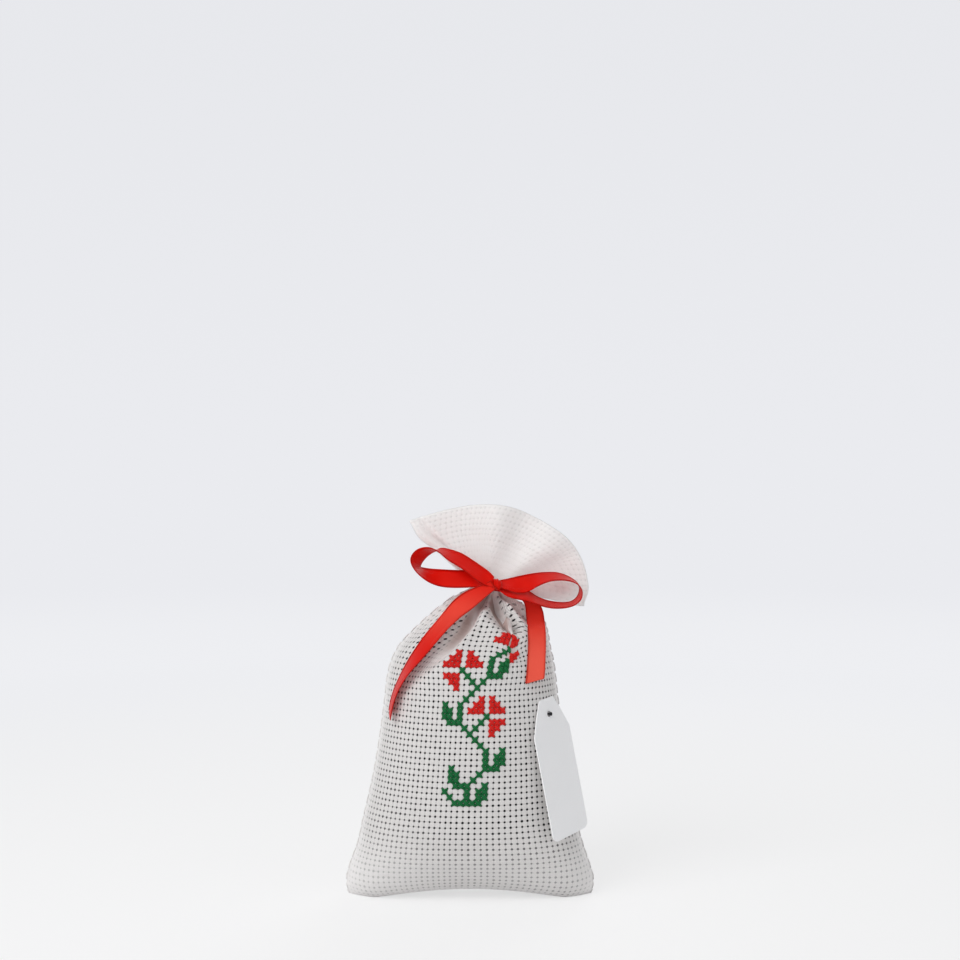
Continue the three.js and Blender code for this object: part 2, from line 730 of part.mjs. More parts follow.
// A tail leaves the knot and then lies on the front of the bag, turned the way facingAt says
function tailEdges(shares, steps, side, startY, facingAt) {
  const curve = new THREE.CatmullRomCurve3(shares.map(([x, z]) =>
    new THREE.Vector3(knotX + x * bowReach, 0, knotZ + z * bowReach)), false, 'centripetal');
  const near = [];
  const far = [];
  const clear = tailClearance + ribbonThickness / 2;
  for (let step = 0; step <= steps; step += 1) {
    const at = step / steps;
    const point = curve.getPoint(at);
    const along = curve.getTangent(at);
    const normal = frontNormal(point.x, point.z);
    const face = frontFace(point.x, point.z);
    const middle = new THREE.Vector3(point.x, face, point.z).addScaledVector(normal, clear);
    middle.y = mix(startY, middle.y, smooth(0.1, 0.45, at));
    const facing = facingAt(normal, at).normalize();
    const across = new THREE.Vector3().crossVectors(facing, along).normalize();
    const width = mix(ribbonWidth * 0.6, ribbonWidth, smooth(0, 0.15, at)) / 2;
    const placeAt = (share) => middle.clone().addScaledVector(across, share * width * side);
    const lifts = tailWidthShares.map(placeAt).map(({ x, y, z }) => y - frontFace(x, z) + clear);
    const lift = Math.max(...lifts, 0);
    const edges = [placeAt(-1), placeAt(1)];
    edges.forEach((edge) => edge.add(new THREE.Vector3(0, -lift, 0)));
    near.push(edges[0]);
    far.push(edges[1]);
  }
  const cut = ribbonWidth * tailCutShare;
  const endAlong = curve.getTangent(1);
  near[steps].addScaledVector(endAlong, -cut);
  return [near, far];
}

function makeRibbon() {
  const profile = [
    new THREE.Vector2(bandInner, -bandHalfHeight),
    new THREE.Vector2(bandOuter, -bandHalfHeight),
    new THREE.Vector2(bandOuter, bandHalfHeight),
    new THREE.Vector2(bandInner, bandHalfHeight),
    new THREE.Vector2(bandInner, -bandHalfHeight),
  ];
  const bandSides = 32;
  const band = new THREE.LatheGeometry(profile, bandSides);
  band.rotateX(Math.PI / 2);
  band.rotateY(-Math.atan(neckSlopeShare));
  band.translate(neckOffset, 0, neckHeight);
  addMesh('ribbon_neck_band', band, ribbonColour, 0.35);

  const across = knotWidth / 2 - knotRound;
  const up = knotHeight / 2 - knotRound;
  const outline = new THREE.Shape();
  outline.moveTo(-across, -up);
  outline.lineTo(across, -up);
  outline.lineTo(across, up);
  outline.lineTo(-across, up);
  outline.closePath();
  const knot = new THREE.ExtrudeGeometry(outline, {
    depth: knotDepth - 2 * knotRound,
    bevelEnabled: true,
    bevelThickness: knotRound,
    bevelSize: knotRound,
    bevelSegments: 3,
    curveSegments: 4,
  });
  knot.translate(0, 0, -(knotDepth - 2 * knotRound) / 2);
  knot.rotateX(Math.PI / 2);
  knot.translate(knotX, knotMiddleY, knotZ);
  addMesh('ribbon_knot', knot, ribbonColour, 0.35);

  const loopSteps = 40;
  const tailSteps = 24;
  addMesh('ribbon_loop_left', ribbonStrip(...loopEdges(loopLeftShares, loopSteps)), ribbonColour, 0.35);
  addMesh('ribbon_loop_right', ribbonStrip(...loopEdges(loopRightShares, loopSteps)), ribbonColour, 0.35);
  const turnedAway = new THREE.Vector3(-1, 0, 0);
  const towardsView = new THREE.Vector3(0, -1, 0);
  const behindLoop = -(bandOuter + restingGap) * tailTuckShare;
  const leftTail = tailEdges(tailLeftShares, tailSteps, 1, knotMiddleY,
    (normal, at) => normal.clone().lerp(turnedAway, tailTurnShare * smooth(0, 0.5, at)));
  const rightTail = tailEdges(tailRightShares, tailSteps, -1, behindLoop,
    (normal) => normal.clone().lerp(towardsView, tailTurnShare));
  addMesh('ribbon_tail_left', ribbonStrip(...leftTail), ribbonColour, 0.35);
  addMesh('ribbon_tail_right', ribbonStrip(...rightTail), ribbonColour, 0.35);
}

// The tag lies in a plane against the right of the front; these are its own axes
const turn = THREE.MathUtils.degToRad(tagTurn);
const tilt = THREE.MathUtils.degToRad(tagTilt);
const lean = THREE.MathUtils.degToRad(tagLean);
const tagOut = new THREE.Vector3(
  Math.sin(turn) * Math.cos(tilt), -Math.cos(turn) * Math.cos(tilt), Math.sin(tilt));
const levelAcross = new THREE.Vector3(Math.cos(turn), Math.sin(turn), 0);
const levelUp = new THREE.Vector3().crossVectors(tagOut, levelAcross);
const tagAcross = levelAcross.clone().applyAxisAngle(tagOut, lean);
const tagUp = new THREE.Vector3().crossVectors(tagOut, tagAcross);
const tagFoot = new THREE.Vector3(tagHoleX, frontFace(tagHoleX, tagHoleZ), tagHoleZ);

// How far the tag stands off its foot, so that it clears the bag through its whole swing
function tagStandOff() {
  let highest = 0;
  const samples = 60;
  for (let row = 0; row <= samples; row += 1) {
    for (let column = 0; column <= samples; column += 1) {
      const at = mix(0.08, 0.75, row / samples);
      const point = clothPoint(mix(0.2, 1, column / samples), at, -1, 0, 0).sub(tagFoot);
      const a = point.dot(tagAcross);
      const b = point.dot(tagUp);
      for (const degrees of [tagSwingLeast, tagSwingLeast / 2, 0, tagSwingMost / 2, tagSwingMost]) {
        const angle = THREE.MathUtils.degToRad(degrees);
        const across = a * Math.cos(angle) + b * Math.sin(angle);
        const along = b * Math.cos(angle) - a * Math.sin(angle);
        const inside = Math.abs(across) < tagWidth / 2 && along < tagHoleDrop
          && along > tagHoleDrop - tagLength;
        if (inside) {
          highest = Math.max(highest, point.dot(tagOut));
        }
      }
    }
  }
  return highest + restingGap + tagThickness / 2;
}

const tagGap = tagStandOff();
const tagHole = tagFoot.clone().addScaledVector(tagOut, tagGap);
const tagFrame = new THREE.Matrix4().makeBasis(tagAcross, tagUp, tagOut).setPosition(tagHole);

function makeTag() {
  const top = tagHoleDrop;
  const bottom = tagHoleDrop - tagLength;
  const side = tagWidth / 2;
  const shoulder = top - tagShoulder;
  const bevelShare = 0.55;
  const bevelX = mix(tagTopWidth / 2, side, bevelShare);
  const bevelZ = mix(top, shoulder, bevelShare) + tagBevelDepth;
  const r = tagCornerRadius;
  const outline = new THREE.Shape();
  outline.moveTo(-tagTopWidth / 2, top);
  outline.lineTo(-bevelX, bevelZ);
  outline.lineTo(-side, shoulder);
  outline.lineTo(-side, bottom + r);
  outline.absarc(-side + r, bottom + r, r, Math.PI, 1.5 * Math.PI, false);
  outline.lineTo(side - r, bottom);
  outline.absarc(side - r, bottom + r, r, -Math.PI / 2, 0, false);
  outline.lineTo(side, shoulder);
  outline.lineTo(bevelX, bevelZ);
  outline.lineTo(tagTopWidth / 2, top);
  outline.closePath();
  const hole = new THREE.Path();
  hole.absarc(0, 0, tagHoleRadius, 0, 2 * Math.PI, true);
  outline.holes.push(hole);
  const card = new THREE.ExtrudeGeometry(outline, {
    depth: tagThickness, bevelEnabled: false, curveSegments: 8,
  });
  card.translate(0, 0, -tagThickness / 2);
  card.applyMatrix4(tagFrame);
  addMesh('swing_tag', card, cardColour, 0.7);

  const low = -tagGap + restingGap;
  const seat = tagThickness / 2 + restingGap;
  const high = seat + stitchHeadHeight;
  const profile = [[0, low], [stitchShaftRadius, low], [stitchShaftRadius, seat], [stitchHeadRadius, seat],
    [stitchHeadRadius, mix(seat, high, 0.5)], [stitchHeadRadius * 0.6, high], [0, high],
  ].map(([r, h]) => new THREE.Vector2(r, h));
  const stitchSides = 12;
  const stitch = new THREE.LatheGeometry(profile, stitchSides);
  stitch.rotateX(Math.PI / 2);
  stitch.applyMatrix4(tagFrame);
  addMesh('tag_stitch', stitch, knotThreadColour, 0.8);
}

makePanels();
makeFill();
makeSeams();
makeEmbroidery();
makeRibbon();
makeTag();

export default group;
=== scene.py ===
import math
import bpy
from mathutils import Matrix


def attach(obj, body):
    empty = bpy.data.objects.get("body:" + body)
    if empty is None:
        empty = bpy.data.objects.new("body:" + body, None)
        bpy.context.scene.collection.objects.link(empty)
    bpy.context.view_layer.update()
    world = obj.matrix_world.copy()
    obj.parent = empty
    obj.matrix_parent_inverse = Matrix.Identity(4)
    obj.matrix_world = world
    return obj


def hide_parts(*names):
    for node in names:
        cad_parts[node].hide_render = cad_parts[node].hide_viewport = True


bl_info = {
    "name": "Lavender Sachet",
    "version": (1, 0, 0),
    "blender": (4, 5, 0),
    "location": "3D View > Sidebar > Sachet",
    "description": "Dresses a cross-stitched lavender sachet over its packed parts",
    "category": "Object",
}

import bmesh
import bpy
import numpy as np
from bpy.props import FloatProperty, FloatVectorProperty, IntProperty, PointerProperty
from bpy.types import Operator, Panel, PropertyGroup
from mathutils import Vector, noise
from mathutils.bvhtree import BVHTree

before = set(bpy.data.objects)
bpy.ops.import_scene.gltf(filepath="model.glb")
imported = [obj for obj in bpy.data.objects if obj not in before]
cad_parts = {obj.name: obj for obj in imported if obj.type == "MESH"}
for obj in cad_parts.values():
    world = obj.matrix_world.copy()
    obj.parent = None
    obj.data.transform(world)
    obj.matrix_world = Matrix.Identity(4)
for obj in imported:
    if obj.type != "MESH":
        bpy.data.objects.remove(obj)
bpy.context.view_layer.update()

# Shapes are worked out in millimetres and stored in metres
MM = 0.001
# Corners of a mesh that are closer together than this, in metres, are one
SAME_PLACE = 1e-7
FRONT, BACK = -1, 1
NECK_HEIGHT = 102.5
NECK_X = 7.4
NECK_SLOPE = -0.2
# The bottom is rounded up to a height in mm; its seam arches up between the corners, by mm and as
# a share of its half width, and sinks a little, up to a share of the neck's height
BOTTOM_ROUND = 14.0
BOTTOM_ARCH, BOTTOM_ARCH_REACH = 3.4, 0.78
CORNER_SINK = 1.1
ARCH_TOP = 0.14
HALF_WIDTH = 40.5
HALF_DEPTH = 21.5
FRILL_REACH = 32.0
NECK_RADIUS = 5.8
# Height in metres above which the panels' faces don't all look forwards or backwards
GATHERED_FROM = 0.09
# Height, as a share of the neck's, up to which the side seams are stitched, and their thread, mm
SEAM_TOP = 0.97
SEAM_THREAD = 0.2
# The filling: heights of its foot, its shoulder and its top, and how far inside the cloth it lies, mm
FILL_FOOT, FILL_SHOULDER, FILL_TOP = 0.045, 0.16, 0.8
FILL_INSET = 2.4

# Outline of the bag, from the floor (0) to the neck (1): height, left, right and depth shares
BODY_HEIGHTS = (0, 0.05, 0.1, 0.16, 0.26, 0.37, 0.47, 0.565, 0.63, 0.695, 0.75, 0.805,
                0.85, 0.905, 0.945, 0.968, 0.986)
BODY_LEFT = (-0.985, -1, -0.973, -0.921, -0.867, -0.802, -0.756, -0.721, -0.7, -0.682,
             -0.65, -0.582, -0.48, -0.305, -0.145, -0.035, 0.04)
BODY_RIGHT = (0.985, 1, 0.968, 0.921, 0.857, 0.814, 0.78, 0.746, 0.722, 0.704, 0.686,
              0.655, 0.636, 0.59, 0.49, 0.38, 0.3175)
# How much wider the two bottom corners sit than the rest, as a share, and up to what height
CORNER_SPREAD = 0.014
CORNER_SPREAD_TOP = 0.25
BODY_DEPTH = (0.72, 0.68, 0.72, 0.84, 0.945, 0.98, 1, 1, 1, 0.99, 0.975, 0.87, 0.71,
              0.47, 0.35, 0.302, 0.27)
# Outline of the frill above it, from the neck (1) to the hem (2)
FRILL_HEIGHTS = (1, 1.05, 1.4, 1.6, 1.8, 2)
FRILL_LEFT = ((-0.178, 0.036), (-0.167, 0.092), (-0.353, 0.153), (-0.5625, 0.3375),
              (-0.759, 0.49), (-0.859, 0.66))
FRILL_MIDDLE = ((0, 0), (0.011, 0.056), (0.0625, 0.178), (0.144, 0.366), (0.2375, 0.553),
                (0.334, 0.75))
FRILL_RIGHT = ((0.178, -0.036), (0.19, 0.02), (0.372, -0.106), (0.616, -0.153),
               (0.856, -0.2125), (1, -0.216))
FRILL_DEPTH = (1, 0.96, 0.5, 0.44, 0.46, 0.5)
# How far the frill waves forwards and back at its hem, mm
RUFFLE = 1.15
# How much further its hem swings out on the right, and less on the left, than an even curve
FRILL_SWING = (-0.15, 0.8)

# The hem's right corner is rounded: share, from which place across, and by how much of its height
HEM_CORNER, HEM_CORNER_FROM, HEM_CORNER_DROP = 0.8, 0.88, 0.1
# Where the cloth turns over at the mouth: up along it and inwards, mm, and how far inside it ends up
HEM_TURN = ((0.32, 0.12), (0.45, 0.5), (0.3, 0.88))
HEM_INSIDE = 1.05
# Height of the holes, of the grooves between the blocks and of the blocks, as shares of the relief
HOLE_LEVEL, GROOVE_LEVEL, BLOCK_LEVEL = -1.0, -0.25, 0.3

# Woven cells: the stitched flower's middle column is 0, and its row is 0 too
FIRST_CELL, LAST_CELL = -22, 25
FLOWER_HEIGHT = 76.9
# Where that column runs across the front, at heights on the bag
COLUMN_AT = (0, 0.2, 0.35, 0.76, 0.82, 0.88, 0.93, 0.975, 1, 2)
COLUMN_X = (-5.6, -5.6, -4.9, -2.35, -1.2, 1.2, 3.8, 5.6, 6.6, 12)

# Folds: place across (-1 to 1), depth and width in mm at each height of FOLD_AT, and how far
# the flank on either side of the valley reaches, as a share of that width
FOLD_AT = (0.66, 0.74, 0.8, 0.835, 0.86, 0.88, 0.94, 1, 1.15, 1.5, 2)
FRONT_FOLDS = (
    {"across": (-0.95, -0.95, -0.94, -0.93, -0.92, -0.9, -0.86, -0.8, -0.72, -0.84, -0.93),
     "depth": (0, 0, 0, 0, 0.3, 0.5, 1.0, 1.5, 1.3, 1.4, 1.4),
     "width": (4, 4, 3.4, 2.8, 2.3, 2, 1.6, 1.2, 1.1, 1.1, 1.2), "flanks": (1, 1)},
    {"across": (-0.85, -0.63, -0.43, -0.34, -0.3, -0.27, -0.24, -0.3, -0.36, -0.4, -0.42),
     "depth": (0, 1.3, 2.9, 3.8, 4.1, 4.2, 3.4, 2.2, 1.9, 1.4, 0.6),
     "width": (5, 3.6, 3.0, 2.5, 2.3, 2.2, 1.8, 1.3, 2.5, 5, 6), "flanks": (2.1, 0.8)},
    {"across": (0.58, 0.58, 0.58, 0.57, 0.51, 0.44, 0.18, 0.02, 0.08, 0.14, 0.16),
     "depth": (0, 0, 0, 0.1, 0.7, 3.0, 6.2, 2.8, 2.2, 1.6, 0.7),
     "width": (2, 2, 1.4, 1.4, 1.8, 2.1, 2.1, 1.5, 2.5, 5, 6), "flanks": (1.7, 0.8)},
    {"across": (0.84, 0.84, 0.86, 0.88, 0.88, 0.87, 0.7, 0.5, 0.56, 0.6, 0.6),
     "depth": (0, 0.6, 1.2, 1.8, 2.2, 2.4, 2.6, 1.9, 1.5, 1.1, 0.5),
     "width": (5, 4, 3, 2.7, 2.4, 2.2, 1.7, 1.3, 2.2, 4, 5), "flanks": (1.5, 0.9)},
)
BACK_FOLDS = (
    {"across": (-0.85, -0.82, -0.79, -0.77, -0.75, -0.74, -0.7, -0.68, -0.66, -0.64, -0.62),
     "depth": (0, 0.6, 1.8, 2.4, 2.8, 3.0, 2.6, 2.0, 1.6, 1.2, 0.5),
     "width": (6, 5, 3.8, 3.2, 2.8, 2.6, 1.9, 1.3, 2.2, 4.5, 6), "flanks": (1, 1)},
    {"across": (-0.22, -0.2, -0.185, -0.17, -0.15, -0.14, -0.12, -0.1, -0.1, -0.12, -0.14),
     "depth": (0, 0.9, 2.6, 3.3, 3.5, 3.6, 3.0, 2.2, 1.8, 1.3, 0.6),
     "width": (6, 5, 3.8, 3.2, 2.8, 2.6, 2, 1.3, 2.5, 5, 6), "flanks": (1, 1)},
    {"across": (0.5, 0.48, 0.45, 0.435, 0.425, 0.42, 0.4, 0.4, 0.38, 0.36, 0.34),
     "depth": (0, 0.7, 2.1, 2.8, 3.2, 3.4, 3.0, 2.2, 1.7, 1.2, 0.5),
     "width": (6, 5, 3.6, 3.1, 2.8, 2.6, 1.9, 1.3, 2.5, 5, 6), "flanks": (1, 1)},
    {"across": (0.9, 0.88, 0.86, 0.845, 0.835, 0.83, 0.82, 0.8, 0.78, 0.78, 0.8),
     "depth": (0, 0.3, 0.9, 1.4, 1.7, 1.8, 1.8, 1.6, 1.4, 1.0, 0.5),
     "width": (5, 4, 3.3, 2.8, 2.4, 2.2, 1.7, 1.2, 1.8, 3, 4), "flanks": (1, 1)},
)
# From which height on the right-hand cloth is drawn into the third fold, not the fourth
THIRD_FOLD_FROM = (0.835, 0.895)
# The cloth rises on either side of a fold: share of its depth, place and width, in fold widths
FOLD_EDGE = (0.28, 2.1, 0.9)
# The woven columns right of the top flower are drawn in, by mm, round a height and as far from it
DRAWN_IN, DRAWN_IN_AT, DRAWN_IN_REACH = 5.0, 0.825, 0.055
# Columns between which that begins, and between which it ends
DRAWN_IN_FROM, DRAWN_IN_TO = (6.5, 12.5), (13, 18)
# The woven rows under that flower sag, by cells, round a height and a column and as far from them
SAG, SAG_AT, SAG_REACH = 1.7, 0.822, 0.036
SAG_COLUMN, SAG_COLUMNS = 9.5, 3.2
# Height of one cell there, from 0 at the floor to 1 at the neck
CELL_RISE = 0.0155

# Bow: near edge x, z, far edge x, z and depth of the middle, as shares of its reach from the knot
BOW_REACH = 27.0
KNOT = (6.6, -8.55, 104.3)
KNOT_MIDDLE = (8.75, -9.7, 103.45)
LOOP_LEFT = (
    (0.032, -0.069, 0.041, 0.03, 0.02), (-0.06, -0.06, -0.06, 0.04, 0.02),
    (-0.185, -0.056, -0.185, 0.105, 0.02), (-0.295, -0.063, -0.295, 0.127, 0.02),
    (-0.46, -0.065, -0.46, 0.133, 0.02), (-0.605, -0.05, -0.605, 0.14, 0.03),
    (-0.73, -0.005, -0.72, 0.145, 0.04), (-0.837, 0.068, -0.805, 0.155, 0.05),
    (-0.91, 0.145, -0.85, 0.167, 0.05), (-0.953, 0.224, -0.845, 0.2, 0.05),
    (-0.956, 0.297, -0.814, 0.25, 0.05), (-0.905, 0.37, -0.765, 0.303, 0.05),
    (-0.823, 0.409, -0.705, 0.347, 0.05), (-0.723, 0.411, -0.655, 0.37, 0.04),
    (-0.614, 0.358, -0.595, 0.398, 0.03), (-0.514, 0.273, -0.486, 0.381, 0.01),
    (-0.395, 0.2, -0.35, 0.337, -0.01), (-0.277, 0.123, -0.223, 0.26, -0.03),
    (-0.168, 0.032, -0.113, 0.187, -0.05), (-0.068, -0.032, -0.019, 0.12, -0.06),
    (0.03, -0.06, 0.045, 0.055, -0.07),
)
LOOP_RIGHT = (
    (0.105, -0.1, 0.105, -0.01, 0), (0.214, -0.169, 0.232, -0.06, -0.02),
    (0.323, -0.197, 0.341, -0.087, -0.04), (0.45, -0.224, 0.459, -0.118, -0.05),
    (0.56, -0.261, 0.578, -0.191, -0.05), (0.669, -0.294, 0.687, -0.233, -0.03),
    (0.778, -0.31, 0.796, -0.255, -0.01), (0.905, -0.306, 0.905, -0.263, 0.01),
    (1.014, -0.275, 0.996, -0.248, 0.02), (1.087, -0.215, 1.06, -0.197, 0.02),
    (1.107, -0.135, 1.09, -0.125, 0.02), (1.082, -0.058, 1.084, -0.056, 0.02),
    (1.018, -0.005, 1.032, 0.006, 0.02), (0.914, 0.023, 0.932, 0.065, 0.02),
    (0.796, 0.025, 0.814, 0.1, 0.01), (0.705, 0.01, 0.687, 0.105, 0),
    (0.596, -0.032, 0.56, 0.096, -0.01), (0.447, -0.111, 0.432, 0.078, -0.02),
    (0.323, -0.118, 0.323, 0.054, -0.02), (0.214, -0.087, 0.214, 0.028, -0.02),
    (0.105, -0.06, 0.105, 0.008, -0.02),
)
# Tails: x and z of their middle line, as shares of the same reach
TAIL_LEFT = ((0.04, -0.03), (-0.04, -0.08), (-0.13, -0.135), (-0.235, -0.2), (-0.395, -0.325),
             (-0.548, -0.48), (-0.7, -0.65), (-0.845, -0.83), (-0.975, -1.005), (-1.075, -1.175),
             (-1.145, -1.33), (-1.19, -1.48), (-1.22, -1.64))
TAIL_RIGHT = ((0.27, -0.12), (0.36, -0.15), (0.45, -0.2), (0.51, -0.28), (0.545, -0.4),
              (0.56, -0.56), (0.561, -0.75), (0.55, -0.93), (0.537, -1.09), (0.524, -1.2))
# Depth in mm at which a tail leaves the knot, its share of the full width there, and where along
# it the width is full
TAIL_LEFT_START, TAIL_RIGHT_START = (-11.0, 0.5, 0.2), (-5.0, 0.4, 0.45)
# How much a tail's middle stands out, and how much its slanting end is cut back, mm
TAIL_CROWN, TAIL_CUT = 0.15, 2.1
# How far in front of the cloth a tail runs, and in front of the folds under it at least, mm
TAIL_AHEAD, TAIL_CLEAR = 0.5, 0.45
# Rows of faces across a loop or tail
RIBBON_ROWS = 8
# The neck band: inner radius, how much fuller its middle is, and half its height, mm
BAND_RADIUS, BAND_FULLNESS, BAND_HALF_HEIGHT = 6.32, 0.28, 1.25
# Half sizes of the knot: across, forwards and up, mm
KNOT_HALF = (1.25, 1.5, 1.75)

# Tag hole and the directions of the card, from its rest
TAG_HOLE = Vector((25.5406, -11.5816, 61.5211))
TAG_OUT = Vector((0.7359, -0.6626, 0.1392))
TAG_UP = Vector((-0.1842, 0.0019, 0.9829))

# Colours of the pale wall behind, level with the eye and above
HORIZON = (0.824, 0.831, 0.864)
WALL_TOP = (0.803, 0.811, 0.843)
FLOOR_RADIUS = 15.0
# How bright the floor looks under the sachet and half a metre off, before it takes the wall's colour
FLOOR_NEAR, FLOOR_FAR = (0.99, 0.99, 0.99), (0.853, 0.86, 0.887)
# Places of the lights in metres; each is a square of LIGHT_SIZE and looks at LIGHTS_AIM
KEY_PLACE, FILL_PLACE, BACK_PLACE = (-0.48, -0.56, 0.58), (0.7, -0.4, 0.3), (0.25, 0.75, 0.55)
LIGHT_SIZE = 0.6
LIGHTS_AIM = (0, 0, 0.06)
# The camera stands at the height of the frill and looks down by this many degrees
CAMERA_PLACE = (0, -0.4441, 0.1327)
CAMERA_DOWN = 0.19
CAMERA_LENS, CAMERA_SENSOR = 49.95, 36
CAMERA_SHIFT = (0.0104, 0.02)
CAMERA_CLIP = (0.01, 20)

# Cross-stitch chart, in cells from the left flower: name, centre, and the way its stem leaves
FLOWERS = (
    ("flower_left", (0, 0), (1, -1)),
    ("flower_middle", (5, -8), (-1, -1)),
    ("flower_top", (8, 5), (-1, -1)),
)
STEM_CELLS = 4
# Leaves: column and row of the root, and the side they grow to
LEAVES = ((5, -1, 1), (0, -9, -1), (5, -17, 1), (2, -20, -1), (2, -23, 1))
LEAF_CELLS = ((1, 0), (2, 0), (2, 1), (3, 1), (2, 2), (3, 2), (3, 3))
# Straight runs of the vine: first cell, step and count
VINE_RUNS = (((5, 2), (0, -1), 4), ((0, -6), (0, -1), 4), ((5, -14), (0, -1), 4),
             ((2, -21), (0, -1), 3), ((4, -2), (-1, -1), 4), ((1, -10), (1, -1), 4),
             ((4, -18), (-1, -1), 3), ((1, -23), (-1, 0), 2), ((-1, -22), (-1, 1), 2))
# Rows of the chart that the stitching needs, and how many places are worked out for each cell
CHART_ROWS = (-25.5, 11.5)
PER_CELL = 4
# Half the space between the two strands of a leg, in cells, and how deep its ends go in, mm
STRANDS_APART = 0.12
LEG_SUNK = 0.3


def in_metres(name, description, default, low, high):
    return FloatProperty(name=name, description=description, default=default, min=low, max=high,
                         precision=5, unit="LENGTH")


def as_colour(name, description, default):
    return FloatVectorProperty(name=name, description=description, default=default, min=0, max=1,
                               subtype="COLOR")


def in_watts(name, description, default):
    return FloatProperty(name=name, description=description, default=default, min=0, max=20, unit="POWER")


class SachetClothSettings(PropertyGroup):
    pitch: in_metres("Cell Pitch", "Distance from hole to hole of the woven cloth", 0.00184, 0.001, 0.004)
    steps: IntProperty(name="Faces per Cell", description="Faces along each side of a woven cell",
                       default=3, min=2, max=4)
    relief: in_metres("Weave Relief", "Depth of the holes between the woven blocks", 0.0001, 0, 0.001)
    thickness: in_metres("Cloth Thickness", "Thickness of one layer of cloth", 0.0005, 0.0002, 0.002)
    colour: as_colour("Cloth Colour", "Colour of the woven threads", (0.89, 0.872, 0.858))
    # The hole colour is painted shade: the dark seen through the holes of the weave
    hole_shade_colour: as_colour("Hole Colour", "Colour seen through the holes", (0.012, 0.011, 0.013))
    hem: in_metres("Hem Turn", "Length of cloth turned in at the mouth", 0.006, 0.002, 0.02)


class SachetStitchSettings(PropertyGroup):
    thread: in_metres("Strand Radius", "Radius of one strand of the stitching thread",
                      0.0003, 0.0001, 0.001)
    rise: in_metres("Stitch Rise", "Height of a cross above the cloth", 0.00038, 0.0001, 0.001)
    petal: as_colour("Petal Colour", "Colour of the petal thread", (0.82, 0.016, 0.012))
    leaf: as_colour("Leaf Colour", "Colour of the leaf and stem thread", (0.006, 0.17, 0.045))
    seam: as_colour("Seam Colour", "Colour of the sewing thread", (0.9, 0.88, 0.865))


class SachetRibbonSettings(PropertyGroup):
    width: in_metres("Ribbon Width", "Width of the satin ribbon", 0.006, 0.003, 0.012)
    thickness: in_metres("Ribbon Thickness", "Thickness of the satin ribbon", 0.00026, 0.0001, 0.001)
    colour: as_colour("Ribbon Colour", "Colour of the satin", (0.70, 0.005, 0.002))


class SachetTagSettings(PropertyGroup):
    colour: as_colour("Card Colour", "Colour of the card", (0.96, 0.96, 0.965))
    thread_radius: in_metres("Tag Thread Radius", "Radius of the thread in the hole",
                             0.00022, 0.0001, 0.001)
    thread_colour: as_colour("Tag Thread Colour", "Colour of the tag's thread", (0.035, 0.034, 0.04))


class SachetLavenderSettings(PropertyGroup):
    bud: in_metres("Bud Size", "Size of the dried flower buds", 0.003, 0.001, 0.01)
    colour: as_colour("Bud Colour", "Colour of the dried buds", (0.145, 0.105, 0.24))


class SachetStageSettings(PropertyGroup):
    key_power: in_watts("Key Light", "Power of the large soft light", 4.0)
    fill_power: in_watts("Fill Light", "Power of the light from the right", 0.6)
    back_power: in_watts("Back Light", "Power of the light from behind", 1.6)
    sky: FloatProperty(name="Room Light", description="Strength of the even light all round",
                       default=0.45, min=0, max=2)


def smooth(low, high, value):
    """Rises softly from 0 at low to 1 at high."""
    share = np.clip((np.asarray(value, float) - low) / (high - low), 0, 1)
    return share * share * (3 - 2 * share)


def bell(x):
    return np.exp(-x * x)


def unit(vectors):
    """Vectors with the same directions and the length 1."""
    return vectors / (np.linalg.norm(vectors, axis=-1, keepdims=True) + 1e-12)


def gone_along(places):
    """Distance from the start of a line of places, or of each line in a table of them."""
    steps = np.linalg.norm(np.diff(places, axis=-2), axis=-1)
    return np.concatenate([np.zeros((*steps.shape[:-1], 1)), np.cumsum(steps, axis=-1)], axis=-1)


def surface_directions(points):
    """Directions square to a table of places: outwards on the front, inwards on the back."""
    return unit(np.cross(np.gradient(points, axis=1), np.gradient(points, axis=0)))


def through(knots, values, at):
    """Smooth curve through one column of a table, at places between its knots."""
    knots, values = np.asarray(knots, float), np.asarray(values, float)
    at = np.atleast_1d(np.asarray(at, float))
    index = np.clip(np.searchsorted(knots, at, side="right") - 1, 0, len(knots) - 2)
    span = knots[index + 1] - knots[index]
    share = (at - knots[index]) / span
    before = np.maximum(np.arange(len(knots)) - 1, 0)
    after = np.minimum(np.arange(len(knots)) + 1, len(knots) - 1)
    slope = (values[after] - values[before]) / (knots[after] - knots[before])
    square, cube = share**2, share**3
    return (values[index] * (2 * cube - 3 * square + 1) + slope[index] * span * (cube - 2 * square + share)
            + values[index + 1] * (3 * square - 2 * cube) + slope[index + 1] * span * (cube - square))


def outline_at(at):
    """Left, middle and right places and the depth of the bag at heights from 0 to 2."""
    heights, left, right = (np.array(x, float) for x in (BODY_HEIGHTS, BODY_LEFT, BODY_RIGHT))
    reach = HALF_WIDTH * (1 + CORNER_SPREAD * (1 - smooth(0, CORNER_SPREAD_TOP, heights)))
    left, right = left * reach, right * reach
    slope = NECK_SLOPE * smooth(0.86, 1, heights) * (right - left) / 2
    knots = np.concatenate([heights, FRILL_HEIGHTS])
    frill = [np.array(x) * FRILL_REACH + (NECK_X, NECK_HEIGHT)
             for x in (FRILL_LEFT, FRILL_MIDDLE, FRILL_RIGHT)]
    tall = heights * NECK_HEIGHT
    columns = {
        "left_x": (left, frill[0][:, 0]), "left_z": (tall - slope, frill[0][:, 1]),
        "middle_x": ((left + right) / 2, frill[1][:, 0]), "middle_z": (tall, frill[1][:, 1]),
        "right_x": (right, frill[2][:, 0]), "right_z": (tall + slope, frill[2][:, 1]),
        "depth": (np.array(BODY_DEPTH) * HALF_DEPTH, np.array(FRILL_DEPTH) * NECK_RADIUS),
    }
    return {name: through(knots, np.concatenate(parts), at)[:, None] for name, parts in columns.items()}


